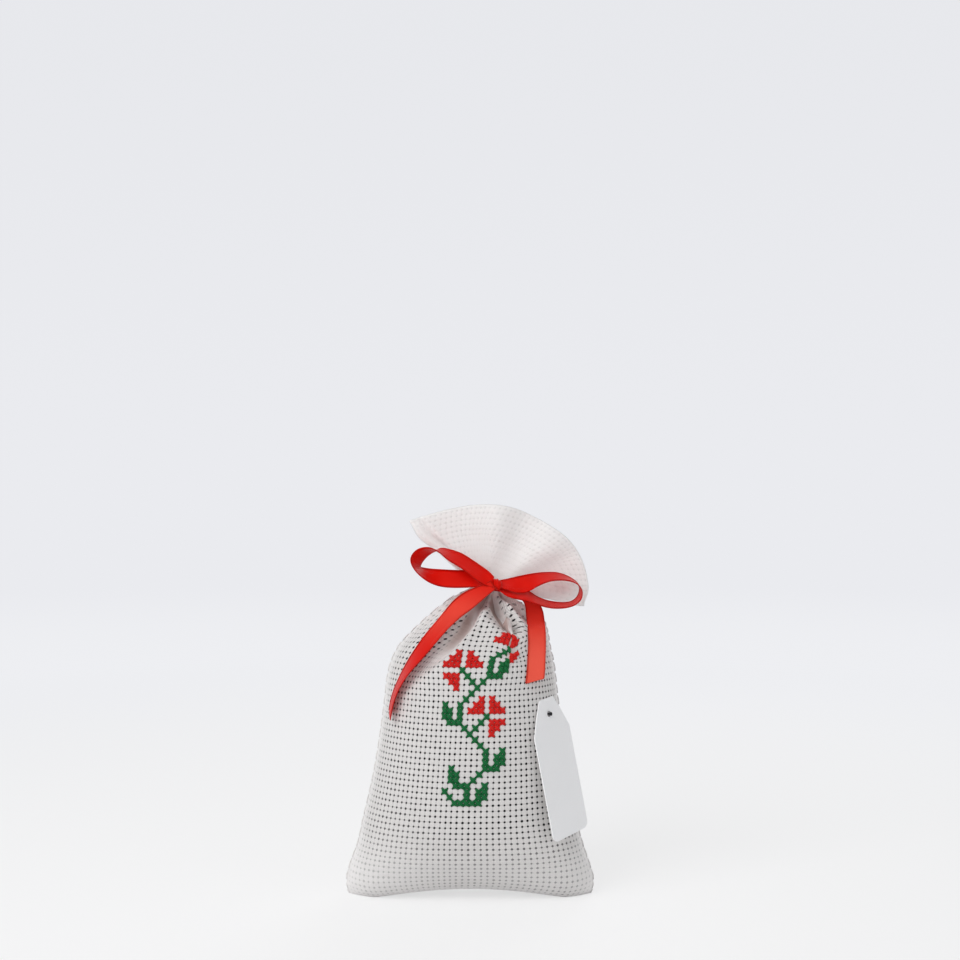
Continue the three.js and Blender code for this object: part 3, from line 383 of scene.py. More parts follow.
def section(across, at, side):
    """Places on the unfolded outside of the bag, with the right corner of the frill rounded off."""
    across, at = np.asarray(across, float), np.asarray(at, float)
    full = sharp_section(across, at, side)
    corner = HEM_CORNER * smooth(HEM_CORNER_FROM, 1, across) ** 2
    lower = sharp_section(across, at - HEM_CORNER_DROP * smooth(1.3, 2, at), side)
    return full + (lower - full) * corner[None, :, None]


def sharp_section(across, at, side):
    """Places on the unfolded outside of the bag; across runs from seam to seam, -1 to 1."""
    u, v = across[None, :], at[:, None]
    place = outline_at(at)
    swing = np.where(u > 0, FRILL_SWING[1], FRILL_SWING[0])
    bow = (1 - u * u) * (1 + swing * u * u * smooth(1, 1.4, v))
    middle_x = (place["left_x"] + place["right_x"]) / 2
    middle_z = (place["left_z"] + place["right_z"]) / 2
    lift = 1 - smooth(0, ARCH_TOP, v)
    arch = (np.maximum(0, 1 - (u / BOTTOM_ARCH_REACH) ** 2) * BOTTOM_ARCH
            - CORNER_SINK * (1 - np.abs(u) ** 6))
    x = middle_x + (place["right_x"] - place["left_x"]) / 2 * u + (place["middle_x"] - middle_x) * bow
    z = (middle_z + (place["right_z"] - place["left_z"]) / 2 * u + (place["middle_z"] - middle_z) * bow
         + arch * lift)
    rise = np.clip(v * NECK_HEIGHT / BOTTOM_ROUND, 0, 1)
    roundness = np.sqrt(1 - (1 - rise) ** 2) ** 0.8
    # Seen from above the bag is an ellipse, and boxier near the floor and in the frill
    power = 2.2 + 2.0 * (1 - smooth(0, 0.3, v)) + smooth(1, 1.3, v)
    root = 0.55 - 0.05 * smooth(0.92, 1, v)
    y = place["depth"] * (1 - np.abs(u) ** power) ** root * roundness
    wave = RUFFLE * smooth(1.05, 1.9, v) * np.sin(7.3 * u + 0.9 + 0.8 * np.sin(3 * u)) * (1 - 0.4 * u * u)
    return np.stack([x, side * y + wave, np.maximum(z, 0)], axis=-1)


def heights_by_length(lengths):
    """Heights, 0 to 2, of places up the middle of the front, by their distance from the flower's row.

    Also gives that row's distance from the bottom seam, and the mouth's.
    """
    fine = np.linspace(0, 2, 2401)
    middle = section([0.0], fine, FRONT)[:, 0]
    gone = gone_along(middle)
    start = np.interp(FLOWER_HEIGHT, middle[:1400, 2], gone[:1400])
    return np.interp(start + np.asarray(lengths), gone, fine), start, gone[-1]


def panel_table(side, cells, at, pitch):
    """Places, outward directions and openness of the weave, a row for each height in at.

    The woven cloth is wider than the bag is round. What is over goes down into the folds, so the
    columns keep their distance along the cloth and crowd together in the front view.
    """
    fine = np.linspace(-1, 1, 901)
    full = section(fine, at, side)
    gone = gone_along(full)
    total = gone[:, -1]
    first, last = (FIRST_CELL - 0.5) * pitch, (LAST_CELL + 0.5) * pitch
    excess = (last - first) - total
    folds = FRONT_FOLDS if side == FRONT else BACK_FOLDS
    # For each fold: its valley's place along the outline, its depth, and the reach of its flanks
    lines = []
    for fold in folds:
        u, depth, width = (np.interp(at, FOLD_AT, fold[name]) for name in ("across", "depth", "width"))
        lines.append([np.array([np.interp(u[j], fine, gone[j]) for j in range(len(at))]),
                      depth * (at > FOLD_AT[0]), width * fold["flanks"][0], width * fold["flanks"][1]])
    column_x = np.interp(at, COLUMN_AT, COLUMN_X)
    tucked = smooth(0.66, 0.8, at)
    gathered = smooth(0.9, 1, at)
    third_share = smooth(*THIRD_FOLD_FROM, at)
    drawn_in = DRAWN_IN * (smooth(*DRAWN_IN_FROM, cells) - smooth(*DRAWN_IN_TO, cells))
    want = cells * pitch
    points = np.empty((len(at), len(want), 3))
    push, stretch = np.empty((len(at), len(want))), np.empty((len(at), len(want)))
    for j in range(len(at)):
        # Where the outline has the flower's middle column, and the cloth spread evenly beside it
        arc = gone[j]
        anchor = np.interp(column_x[j], full[j, :, 0], arc) if side == FRONT else total[j] / 2
        middle = 0.0 if side == FRONT else (first + last) / 2
        loose = np.where(arc < anchor, middle + (arc - anchor) * (middle - first) / anchor,
                         middle + (arc - anchor) * (last - middle) / (total[j] - anchor))
        before = (middle - first) - anchor
        after = (last - middle) - (total[j] - anchor)
        # Each fold takes its share of the cloth that is over on its side of that column
        even, third = excess[j] / len(lines), third_share[j]
        spot = first + arc
        for k, (valley, _, left, right) in enumerate(lines):
            held = (0, before, after * third, after * (1 - third))[k] if side == FRONT else even
            gone_in = np.clip((arc - valley[j] + left[j]) / (left[j] + right[j]), 0, 1)
            spot = spot + (held + (even - held) * gathered[j]) * smooth(0, 1, gone_in**1.5)
        spot = loose + (spot - loose) * tucked[j]
        spot = np.maximum.accumulate(spot)
        length = np.interp(want, spot, arc)
        if side == FRONT:
            length = length - drawn_in * bell((at[j] - DRAWN_IN_AT) / DRAWN_IN_REACH)
        for axis in range(3):
            points[j, :, axis] = np.interp(length, arc, full[j, :, axis])
        u = np.interp(length, arc, fine)
        # How deep the cloth lies in the folds
        sunk = np.zeros(len(want))
        share, away, reach = FOLD_EDGE
        for valley, depth, left, right in lines:
            near = length - valley[j]
            near = near / np.where(near < 0, left[j], right[j])
            sunk += depth[j] * (bell(near) - share * bell((np.abs(near) - away) / reach))
        push[j] = sunk * (1 - np.abs(u) ** 10)
        stretch[j] = np.gradient(length, want)
    outwards = 1 if side == FRONT else -1
    points = points - outwards * surface_directions(points) * push[:, :, None]
    if side == FRONT:
        sag = SAG * CELL_RISE * bell((at - SAG_AT) / SAG_REACH)
        for k in range(len(want)):
            lower = at - sag * bell((cells[k] - SAG_COLUMN) / SAG_COLUMNS)
            for axis in range(3):
                points[:, k, axis] = np.interp(lower, at, points[:, k, axis])
    return points, outwards * surface_directions(points), smooth(0.25, 0.8, stretch)


def new_object(name, bm):
    mesh = bpy.data.meshes.new(name)
    bm.to_mesh(mesh)
    bm.free()
    for face in mesh.polygons:
        face.use_smooth = True
    piece = bpy.data.objects.new(name, mesh)
    bpy.context.scene.collection.objects.link(piece)
    return piece


def lay_grid(bm, points):
    """Adds a grid of faces over a table of places in mm, rows by columns."""
    rows, columns = points.shape[:2]
    made = bmesh.ops.create_grid(bm, x_segments=columns - 1, y_segments=rows - 1, size=1)["verts"]
    made.sort(key=lambda corner: (round((corner.co.y + 1) * (rows - 1)), corner.co.x))
    for corner, place in zip(made, points.reshape(-1, 3) * MM):
        corner.co = place


def lay_tube(bm, path, out, half_width, half_height, sides):
    """Adds a closed tube along a path in mm; out points away from what it lies on."""
    along = unit(np.gradient(path, axis=0))
    across = unit(np.cross(along, out))
    out = np.cross(across, along)
    turn = np.linspace(0, 2 * math.pi, sides + 1)
    wide = np.broadcast_to(half_width, len(path))[:, None, None]
    tall = np.broadcast_to(half_height, len(path))[:, None, None]
    ring = (path[:, None] + across[:, None] * np.cos(turn)[None, :, None] * wide
            + out[:, None] * np.sin(turn)[None, :, None] * tall)
    ends = [np.repeat(path[i][None, None], sides + 1, axis=1) for i in (0, -1)]
    lay_grid(bm, np.concatenate([ends[0], ring, ends[1]]))


def close_up(bm):
    """Joins edges that lie together and turns all faces outwards."""
    bmesh.ops.remove_doubles(bm, verts=bm.verts, dist=SAME_PLACE)
    bmesh.ops.recalc_face_normals(bm, faces=bm.faces)


def face_outwards(bm, reference):
    """Turns the faces of an open sheet so that they look the way the reference direction does."""
    bm.normal_update()
    if sum(face.normal.dot(reference(face)) for face in list(bm.faces)[::37]) < 0:
        bmesh.ops.reverse_faces(bm, faces=bm.faces)


def places_of(piece):
    """Places in mm of a piece's corners."""
    return np.array([corner.co for corner in piece.data.vertices]) / MM


def give_uv(piece, uv_of_corner):
    layer = piece.data.uv_layers.new(name="weave")
    index = np.empty(len(piece.data.loops), np.int32)
    piece.data.loops.foreach_get("vertex_index", index)
    layer.data.foreach_set("uv", np.asarray(uv_of_corner, np.float32)[index].ravel())


def give_value(piece, name, values):
    layer = piece.data.attributes.new(name, "FLOAT", "POINT")
    layer.data.foreach_set("value", np.asarray(values, np.float32).ravel())


def settle(piece, body, material, slot, *nodes):
    """Names a finished piece, gives it its material and its body, and hides the parts that it stands for.
    """
    piece.name = f"{nodes[0]}_finish"
    piece.data.materials.clear()
    piece.data.materials.append(material)
    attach(piece, body)
    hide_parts(*nodes)
    return piece


class Wiring:
    """Short calls for laying out the nodes of one tree."""

    def __init__(self, tree):
        self.tree = tree

    def node(self, kind, **values):
        made = self.tree.nodes.new(kind)
        for name, value in values.items():
            setattr(made, name, value)
        return made

    def join(self, source, target):
        self.tree.links.new(source, target)

    def put(self, sockets, values):
        """Joins each socket to the output given for it, or sets it to the value."""
        for socket, value in zip(sockets, values):
            if isinstance(value, bpy.types.NodeSocket):
                self.join(value, socket)
            else:
                socket.default_value = value

    def fill(self, sockets, **values):
        """The same for sockets found by name, with underscores for spaces."""
        self.put([sockets[name.replace("_", " ")] for name in values], values.values())

    def math(self, operation, *values):
        made = self.node("ShaderNodeMath", operation=operation)
        self.put(made.inputs, values)
        return made.outputs[0]

    def times(self, first, second):
        return self.math("MULTIPLY", first, second)

    def vector(self, operation, *values):
        made = self.node("ShaderNodeVectorMath", operation=operation)
        self.put(made.inputs, values)
        return made.outputs["Value" if operation == "LENGTH" else "Vector"]

    def split(self, vector):
        made = self.node("ShaderNodeSeparateXYZ")
        self.join(vector, made.inputs[0])
        return made.outputs

    def attribute(self, name):
        return self.node("ShaderNodeAttribute", attribute_name=name).outputs["Fac"]

    def spread(self, value, low, high, to_low=0.0, to_high=1.0):
        """Goes softly from to_low to to_high while the value goes from low to high."""
        made = self.node("ShaderNodeMapRange", interpolation_type="SMOOTHSTEP")
        self.fill(made.inputs, Value=value, From_Min=low, From_Max=high, To_Min=to_low, To_Max=to_high)
        return made.outputs["Result"]

    def mix(self, share, first, second):
        made = self.node("ShaderNodeMix", data_type="RGBA")
        self.fill(made.inputs, Factor=share)
        self.put([socket for socket in made.inputs if socket.type == "RGBA"], (first, second))
        return next(socket for socket in made.outputs if socket.type == "RGBA")

    def noise(self, vector, scale, detail):
        made = self.node("ShaderNodeTexNoise")
        self.fill(made.inputs, Vector=vector, Scale=scale, Detail=detail)
        return made.outputs["Fac"]

    def bump(self, height, distance, strength=1.0):
        made = self.node("ShaderNodeBump")
        self.fill(made.inputs, Height=height, Distance=distance, Strength=strength)
        return made.outputs["Normal"]

    def blend(self, share, first, second):
        """The mix of two shader nodes by a share."""
        made = self.node("ShaderNodeMixShader")
        self.put(made.inputs, (share, first.outputs[0], second.outputs[0]))
        return made.outputs[0]


def effect_group(name, inputs, outputs, build):
    """A shared effect as a node group with named inputs and outputs, built once."""
    found = bpy.data.node_groups.get(name)
    if found:
        return found
    tree = bpy.data.node_groups.new(name, "ShaderNodeTree")
    for label, kind, default in inputs:
        socket = tree.interface.new_socket(name=label, in_out="INPUT", socket_type=f"NodeSocket{kind}")
        if default is not None:
            socket.default_value = default
    for label, kind in outputs:
        tree.interface.new_socket(name=label, in_out="OUTPUT", socket_type=f"NodeSocket{kind}")
    wires = Wiring(tree)
    start, end = wires.node("NodeGroupInput"), wires.node("NodeGroupOutput")
    wires.fill(end.inputs, **build(wires, start.outputs))
    return tree


def use_group(wires, group, **values):
    made = wires.node("ShaderNodeGroup", node_tree=group)
    wires.fill(made.inputs, **values)
    return made.outputs


def thread_twist():
    """Slanting plies along a thread or ribbon, from its own lengthwise coordinates."""
    def build(wires, given):
        parts = wires.split(given["Vector"])
        slant = wires.math("ADD", wires.times(parts[1], given["Turns"]), parts[0])
        wave = wires.math("SINE", wires.times(slant, 2 * math.pi))
        return {"Ply": wires.spread(wave, -1.0, 1.0)}
    return effect_group("thread twist", (("Vector", "Vector", None), ("Turns", "Float", 1.0)),
                        (("Ply", "Float"),), build)


def woven_blocks():
    """Blocks of four crossing threads with an open hole at each corner, one block per UV unit."""
    def build(wires, given):
        cell = wires.vector("FRACTION", wires.vector("ADD", given["Vector"], (0.5, 0.5, 0)))
        away = wires.split(wires.vector("SUBTRACT", cell, (0.5, 0.5, 0)))
        wide, tall = wires.math("ABSOLUTE", away[0]), wires.math("ABSOLUTE", away[1])
        distance = wires.math("SQRT", wires.math("ADD", wires.math("POWER", wide, 2.0),
                                                 wires.math("POWER", tall, 2.0)))
        uneven = wires.math("SUBTRACT", wires.noise(given["Vector"], 0.9, 0.0), 0.5)
        distance = wires.math("ADD", distance, wires.times(uneven, 0.14))
        hole = wires.spread(distance, wires.times(given["Hole Size"], 0.68), given["Hole Size"], 1.0, 0.0)
        parts = wires.split(given["Vector"])
        threads = [wires.math("SINE", wires.times(parts[axis], 8 * math.pi)) for axis in (0, 1)]
        weave = wires.times(*threads)
        groove = wires.spread(wires.math("MINIMUM", wide, tall), 0.02, 0.13, 1.0, 0.0)
        return {"Hole": hole, "Weave": wires.spread(weave, -0.8, 0.8), "Groove": groove}
    return effect_group("woven blocks", (("Vector", "Vector", None), ("Hole Size", "Float", 0.2)),
                        (("Hole", "Float"), ("Weave", "Float"), ("Groove", "Float")), build)


def uneven_tint():
    """Slow change of tone and fine fibres over a surface."""
    def build(wires, given):
        slow = wires.noise(given["Vector"], 60.0, 3.0)
        fine = wires.noise(given["Vector"], 2600.0, 2.0)
        both = wires.math("ADD", wires.times(wires.math("SUBTRACT", slow, 0.5), given["Slow"]),
                          wires.times(wires.math("SUBTRACT", fine, 0.5), given["Fine"]))
        tone = wires.vector("SCALE", given["Colour"])
        wires.join(wires.math("ADD", both, 1.0), tone.node.inputs["Scale"])
        return {"Colour": tone, "Fibre": fine}
    return effect_group("uneven tint", (("Vector", "Vector", None), ("Colour", "Color", (1, 1, 1, 1)),
                                        ("Slow", "Float", 0.1), ("Fine", "Float", 0.1)),
                        (("Colour", "Color"), ("Fibre", "Float")), build)


def opaque(colour):
    return (*colour, 1.0)


def darker(colour, share):
    return opaque([part * share for part in colour])


def new_material(name):
    """A material, its wiring, its shader's inputs and the coordinates of the surface."""
    material = bpy.data.materials.new(name)
    material.use_nodes = True
    material.node_tree.nodes.clear()
    wires = Wiring(material.node_tree)
    shader = wires.node("ShaderNodeBsdfPrincipled")
    end = wires.node("ShaderNodeOutputMaterial")
    wires.join(shader.outputs[0], end.inputs["Surface"])
    place = wires.node("ShaderNodeTexCoord")
    return material, wires, shader.inputs, place.outputs


def tinted(wires, place, colour, slow, fine):
    return use_group(wires, uneven_tint(), Vector=place["Object"], Colour=opaque(colour),
                     Slow=slow, Fine=fine)


# Colours of the cloth: painted pale light where it shows no holes, painted shade between its threads,
# along its grooves, and in its creases, where the shade is warmed by a painted reflection of the ribbon
CLOTH_PAINTED_LIGHT, CLOTH_SHADE = (0.99, 0.965, 0.95, 1), (0.42, 0.385, 0.37, 1)
CLOTH_GROOVE_SHADE, CLOTH_CREASE_SHADE = (0.36, 0.34, 0.33, 1), (0.42, 0.29, 0.26, 1)
# Colours of the satin: painted sheen where it is seen slantwise, painted highlight where it shines, and
# the tint of its highlights
SATIN_PAINTED_SHEEN, SATIN_PAINTED_HIGHLIGHT = (0.95, 0.03, 0.01, 1), (1.0, 0.135, 0.088, 1)
SATIN_GLINT = (1, 0.22, 0.15, 1)
# Colours of the bits of stalk in the filling, and of the painted shade between its buds
STRAW, BUD_GAP_SHADE = (0.30, 0.27, 0.16, 1), (0.03, 0.02, 0.045, 1)


def cloth_material(settings):
    material, wires, shader, place = new_material("unbleached even-weave cotton")
    weave = use_group(wires, woven_blocks(), Vector=place["UV"], Hole_Size=0.24)
    tint = tinted(wires, place, settings.colour, 0.05, 0.22)
    facing = wires.node("ShaderNodeLayerWeight")
    wires.fill(facing.inputs, Blend=0.5)
    # Painted shade in the holes, faded where the surface is seen slantwise
    gap = wires.times(wires.attribute("gap"), wires.spread(facing.outputs["Facing"], 0.55, 0.9, 1.0, 0.1))
    # Painted light: the cloth is made pale where the painted shade in the holes is faint
    painted_pale = wires.mix(wires.spread(gap, 0.05, 0.35, 0.75, 0.0), tint["Colour"], CLOTH_PAINTED_LIGHT)
    strength = wires.spread(gap, 0.0, 0.8, 0.12, 0.6)
    # Painted shade between the threads of each block
    between = wires.mix(wires.times(weave["Weave"], strength), painted_pale, CLOTH_SHADE)
    # Painted shade along the grooves between the blocks
    line = wires.times(weave["Groove"], wires.times(gap, 0.3))
    between = wires.mix(line, between, CLOTH_GROOVE_SHADE)
    # Painted shade, warmed by a painted reflection of the ribbon, on the flanks of the folds
    crease_shaded = wires.mix(wires.attribute("crease"), between, CLOTH_CREASE_SHADE)
    # Painted shade seen through the holes
    dark = wires.times(weave["Hole"], gap)
    height = wires.math("SUBTRACT", wires.times(weave["Weave"], 0.35), weave["Hole"])
    height = wires.math("SUBTRACT", height, wires.times(weave["Groove"], 0.3))
    height = wires.math("ADD", height, wires.times(tint["Fibre"], 0.7))
    wires.fill(shader, Base_Color=wires.mix(dark, crease_shaded, opaque(settings.hole_shade_colour)),
               Normal=wires.bump(height, 0.0001, 0.8), Roughness=0.92, Specular_IOR_Level=0.2,
               Sheen_Weight=0.15, Sheen_Roughness=0.5)
    return material


def floss_material(name, colour, rough=0.5, depth=0.28):
    """Twisted thread; depth is how dark the painted shade in the grooves between its plies is, as a share
    of its colour.
    """
    material, wires, shader, place = new_material(name)
    ply = use_group(wires, thread_twist(), Vector=place["UV"], Turns=1.0)
    tint = tinted(wires, place, colour, 0.12, 0.5)
    shade = wires.times(ply["Ply"], 0.6)
    wires.fill(shader, Base_Color=wires.mix(shade, tint["Colour"], darker(colour, depth)),
               Normal=wires.bump(ply["Ply"], 0.00008, 0.6), Roughness=rough, Specular_IOR_Level=0.2)
    return material


def satin_material(settings):
    material, wires, shader, place = new_material("red satin ribbon")
    tint = tinted(wires, place, settings.colour, 0.1, 0.1)
    parts = wires.split(place["UV"])
    rib = wires.math("SINE", wires.times(parts[1], 8 * math.pi))
    edge = wires.math("ABSOLUTE", wires.math("SUBTRACT", parts[0], 0.5))
    facing = wires.node("ShaderNodeLayerWeight")
    wires.fill(facing.inputs, Blend=0.35)
    # Painted sheen: brighter red where the satin is seen slantwise
    lit = wires.mix(wires.times(facing.outputs["Facing"], 0.15), tint["Colour"], SATIN_PAINTED_SHEEN)
    # Painted highlight where a tail lies open to the light
    lit = wires.mix(wires.attribute("painted_highlight"), lit, SATIN_PAINTED_HIGHLIGHT)
    # Darker towards both edges of the ribbon
    edge_darkening = wires.times(wires.spread(edge, 0.42, 0.5), 0.6)
    wires.fill(shader, Base_Color=wires.mix(edge_darkening, lit, darker(settings.colour, 0.45)),
               Normal=wires.bump(rib, 0.00003, 0.5), Roughness=0.38, Specular_IOR_Level=0.3,
               Specular_Tint=SATIN_GLINT)
    return material


def card_material(settings):
    material, wires, shader, place = new_material("matt white card")
    tint = tinted(wires, place, settings.colour, 0.04, 0.06)
    wires.fill(shader, Base_Color=tint["Colour"], Normal=wires.bump(tint["Fibre"], 0.00004, 0.5),
               Roughness=wires.spread(tint["Fibre"], 0.3, 0.7, 0.62, 0.75))
    return material


def lavender_material(settings):
    material, wires, shader, place = new_material("dried lavender buds")
    cells = wires.node("ShaderNodeTexVoronoi")
    wires.fill(cells.inputs, Vector=place["Object"], Scale=1.6 / settings.bud)
    tint = tinted(wires, place, settings.colour, 0.5, 0.4)
    straw = wires.spread(cells.outputs["Color"], 0.55, 0.75)
    mixed = wires.mix(straw, tint["Colour"], STRAW)
    # Painted shade between the buds
    gap = wires.spread(cells.outputs["Distance"], 0.25, 0.6)
    swell = wires.math("SUBTRACT", 1.0, cells.outputs["Distance"])
    wires.fill(shader, Base_Color=wires.mix(gap, mixed, BUD_GAP_SHADE),
               Normal=wires.bump(swell, 0.0006), Roughness=0.95)
    return material


def weave_rows(settings):
    """Rows of the grid in cells from the flower's row, and their heights."""
    pitch, steps = settings.pitch / MM, settings.steps
    _, below, whole = heights_by_length([0.0])
    lowest = math.ceil(-below / pitch + 1.2) - 0.5
    highest = math.floor((whole - below) / pitch + 0.5) - 0.5
    count = int(round(highest - lowest)) * steps
    rows = np.concatenate([[-below / pitch, (-below / pitch + lowest) / 2],
                           lowest + np.arange(count + 1) / steps, [(whole - below) / pitch]])
    heights, _, _ = heights_by_length(rows * pitch)
    return rows, np.clip(heights, 0, 2)


def weave_columns(settings):
    count = (LAST_CELL - FIRST_CELL + 1) * settings.steps
    return FIRST_CELL - 0.5 + np.arange(count + 1) / settings.steps


def hem_rows(points, normals, rows, pitch, turn):
    """Cloth that goes over the edge of the mouth and a little way down inside.

    Gives its places, their outward directions and where they are in cells.
    """
    up = unit(points[-1] - points[-2])
    over = [points[-1] + up * rise - normals[-1] * inwards for rise, inwards in HEM_TURN]
    inside = [points[j] - normals[j] * HEM_INSIDE for j in range(len(rows) - 1, 0, -2)
              if (rows[-1] - rows[j]) * pitch <= turn]
    added = np.stack(over + inside)
    directions = np.stack([up] * len(over) + [-normals[-1]] * len(inside))
    return added, directions, rows[-1] + 0.3 + np.arange(len(added)) * 0.6


class SACHET_OT_cloth(Operator):
    """Make the two woven panels, folded in at the neck and open in a frill above it"""
    bl_idname = "sachet.cloth"
    bl_label = "Cloth Panels"
    bl_options = {"REGISTER", "UNDO"}

    def execute(self, context):
        settings = context.scene.sachet_cloth
        pitch = settings.pitch / MM
        rows, at = weave_rows(settings)
        columns = weave_columns(settings)
        material = cloth_material(settings)
        for side, name in ((FRONT, "front_panel"), (BACK, "back_panel")):
            points, normals, open_weave = panel_table(side, columns, at, pitch)
            step_u = np.round((columns - columns[0]) * settings.steps).astype(int) % settings.steps
            step_v = np.round((rows - rows[2]) * settings.steps).astype(int) % settings.steps
            on_u, on_v = (step_u == 0)[None, :], (step_v == 0)[:, None]
            level = np.where(on_u & on_v, HOLE_LEVEL, np.where(on_u | on_v, GROOVE_LEVEL, BLOCK_LEVEL))
            inner = smooth(1, 9, columns - columns[0]) * smooth(1, 9, columns[-1] - columns)
            level = level * inner[None, :] * smooth(0, 0.6, rows - rows[0])[:, None]
            level *= smooth(0, 0.4, rows[-1] - rows)[:, None] * open_weave
            hem, hem_out, hem_at = hem_rows(points, normals, rows, pitch, settings.hem / MM)
            points = points + normals * (level * settings.relief / MM)[:, :, None]
            table = np.concatenate([points, hem])
            all_rows = np.concatenate([rows, hem_at])
            bm = bmesh.new()
            lay_grid(bm, table)
            face_outwards(bm, lambda face: Vector((0, side, 0)) * (
                face.calc_center_median().z < GATHERED_FROM))
            piece = new_object(name, bm)
            over = np.meshgrid(columns + 0.5, all_rows + 0.5)
            give_uv(piece, np.stack([over[0].ravel(), over[1].ravel()], axis=1))
            weave = np.concatenate([open_weave, np.full((len(hem), len(columns)), 0.5)])
            heights = np.concatenate([at, np.full(len(hem), 2.0)])
            # Painted shade seen through the holes, less where the weave is drawn together
            give_value(piece, "gap", weave * hole_shade_of(table, heights, columns, side))
            turned = np.concatenate([normals, hem_out])[:, :, 0]
            give_value(piece, "crease", crease_of(weave, heights, turned, side))
            wall = piece.modifiers.new("cloth thickness", "SOLIDIFY")
            wall.thickness = settings.thickness
            wall.offset = -1
            settle(piece, "sachet", material, "cloth", name)
        return {"FINISHED"}


def hole_shade_of(points, at, columns, side):
    """How dark the painted shade in the holes is: paler low down, at the left where the light falls, by
    the seams, in the frill and on the back.
    """
    x, z = points[:, :, 0], points[:, :, 2]
    low, lower_half = 1 - smooth(8, 28, z), 1 - smooth(15, 50, z)
    left = 1 - smooth(-28, 0, x * -side)
    frill = smooth(0.965, 1, at)[:, None]
    seam = smooth(0, 7, np.minimum(columns - columns[0], columns[-1] - columns))[None, :]
    return (np.clip(1 - 0.54 * low - 0.02 * left - 0.14 * lower_half * left, 0.15, 1) * (1 - 0.93 * frill)
            * (0.25 + 0.75 * seam) * (1 if side == FRONT else 0.85))


def crease_of(weave, at, turned, side):
    """Faint warm shade on the flanks of the folds that are turned away from the light."""
    near = (smooth(0.74, 0.86, at) * (1 - smooth(0.97, 1.02, at)))[:, None]
    return (1 - weave) * near * (0.15 + 0.75 * smooth(-0.4, 0.6, turned) if side == FRONT else 0.2)


class SACHET_OT_seams(Operator):
    """Sew small slanting stitches over the side and bottom seams"""
    bl_idname = "sachet.seams"
    bl_label = "Seam Stitches"
    bl_options = {"REGISTER", "UNDO"}

    def execute(self, context):
        settings, cloth = context.scene.sachet_stitch, context.scene.sachet_cloth
        pitch = cloth.pitch / MM
        rows, at = weave_rows(cloth)
        columns = weave_columns(cloth)
        tables = {side: panel_table(side, columns, at, pitch) for side in (FRONT, BACK)}
        apart = 2 * cloth.steps
        material = floss_material("cotton sewing thread", settings.seam, 0.75, 0.8)
        side_rows = [j for j in range(8, len(rows) - 1) if at[j] < SEAM_TOP][::apart]
        for name, spots in (
                ("seam_thread_left", [((j, 2), (j + 2, 0), (j + 4, 2)) for j in side_rows]),
                ("seam_thread_right", [((j, -3), (j + 2, -1), (j + 4, -3)) for j in side_rows]),
                ("seam_thread_bottom", [((2, i), (0, i + 2), (2, i + 4))
                                        for i in range(9, len(columns) - 12, apart)])):
            bm = bmesh.new()
            for front, seam, back in spots:
                self.stitch(bm, tables, front, seam, back)
            close_up(bm)
            settle(new_object(name, bm), "sachet", material, "seam_thread", name)
        return {"FINISHED"}

    def stitch(self, bm, tables, front, seam, back):
        """One stitch from the front over the seam's edge to the back."""
        first, over, last = (tables[FRONT][0][front], tables[FRONT][0][seam], tables[BACK][0][back])
        start, end = tables[FRONT][1][front], tables[BACK][1][back]
        middle = unit(over - (first + last) / 2)
        path = np.stack([first - start * 0.25, first + start * 0.2, over + middle * 0.28,
                         last + end * 0.2, last - end * 0.25])
        path[:, 2] = np.maximum(path[:, 2], SEAM_THREAD)
        lay_tube(bm, path, np.stack([last - first, start, middle, end, last - first]),
                 SEAM_THREAD, SEAM_THREAD, 5)


class SACHET_OT_lavender(Operator):
    """Fill the bag with dried lavender buds, up to where the cloth is gathered"""
    bl_idname = "sachet.lavender"
    bl_label = "Lavender Filling"
    bl_options = {"REGISTER", "UNDO"}

    def execute(self, context):
        settings, cloth = context.scene.sachet_lavender, context.scene.sachet_cloth
        pitch = cloth.pitch / MM
        at = np.concatenate([np.linspace(FILL_FOOT, FILL_SHOULDER, 12),
                             np.linspace(FILL_SHOULDER + 0.01, FILL_TOP, 72)])
        columns = np.linspace(FIRST_CELL + 1.2, LAST_CELL - 1.2, 70)
        rings = []
        for side in (FRONT, BACK):
            points, normals, _ = panel_table(side, columns, at, pitch)
            inside = points - normals * FILL_INSET
            inside[:, :, 1] = side * np.maximum(side * inside[:, :, 1], 0.3)
            rings.append(inside if side == FRONT else inside[:, ::-1])
        ring = np.concatenate(rings + [rings[0][:, :1]], axis=1)
        foot, top = (self.cap(ring[j], rise) for j, rise in ((0, (-0.3, -0.2)), (-1, (0.8, 0.6))))
        bm = bmesh.new()
        lay_grid(bm, np.concatenate([foot, ring, top[::-1]]))
        close_up(bm)
        bm.normal_update()
        for corner in bm.verts:
            bud = noise.cell(corner.co / settings.bud) - 0.5
            swell = noise.noise(corner.co / (settings.bud * 1.3))
            corner.co += corner.normal * (bud * 0.0003 + swell * 0.0006)
        material = lavender_material(settings)
        piece = settle(new_object("lavender_fill", bm), "sachet", material, "lavender", "lavender_fill")
        return {"FINISHED"}

    def cap(self, edge, rise):
        """The middle of an end of the filling and the ring half-way to it, each raised by some mm."""
        middle = np.broadcast_to(edge.mean(axis=0) + (0, 0, rise[0]), edge.shape)
        return np.stack([middle, (edge + middle) / 2 + (0, 0, rise[1])])


def cells_along(start, step, count):
    return [(start[0] + step[0] * k, start[1] + step[1] * k) for k in range(count)]


def petal_cells(centre, quarter):
    """A petal is a staircase of three, two and one cells, widest beside the flower's middle row."""
    return [(centre[0] + quarter[0] * i, centre[1] + quarter[1] * j)
            for j in range(1, 4) for i in range(1, 5 - j)]


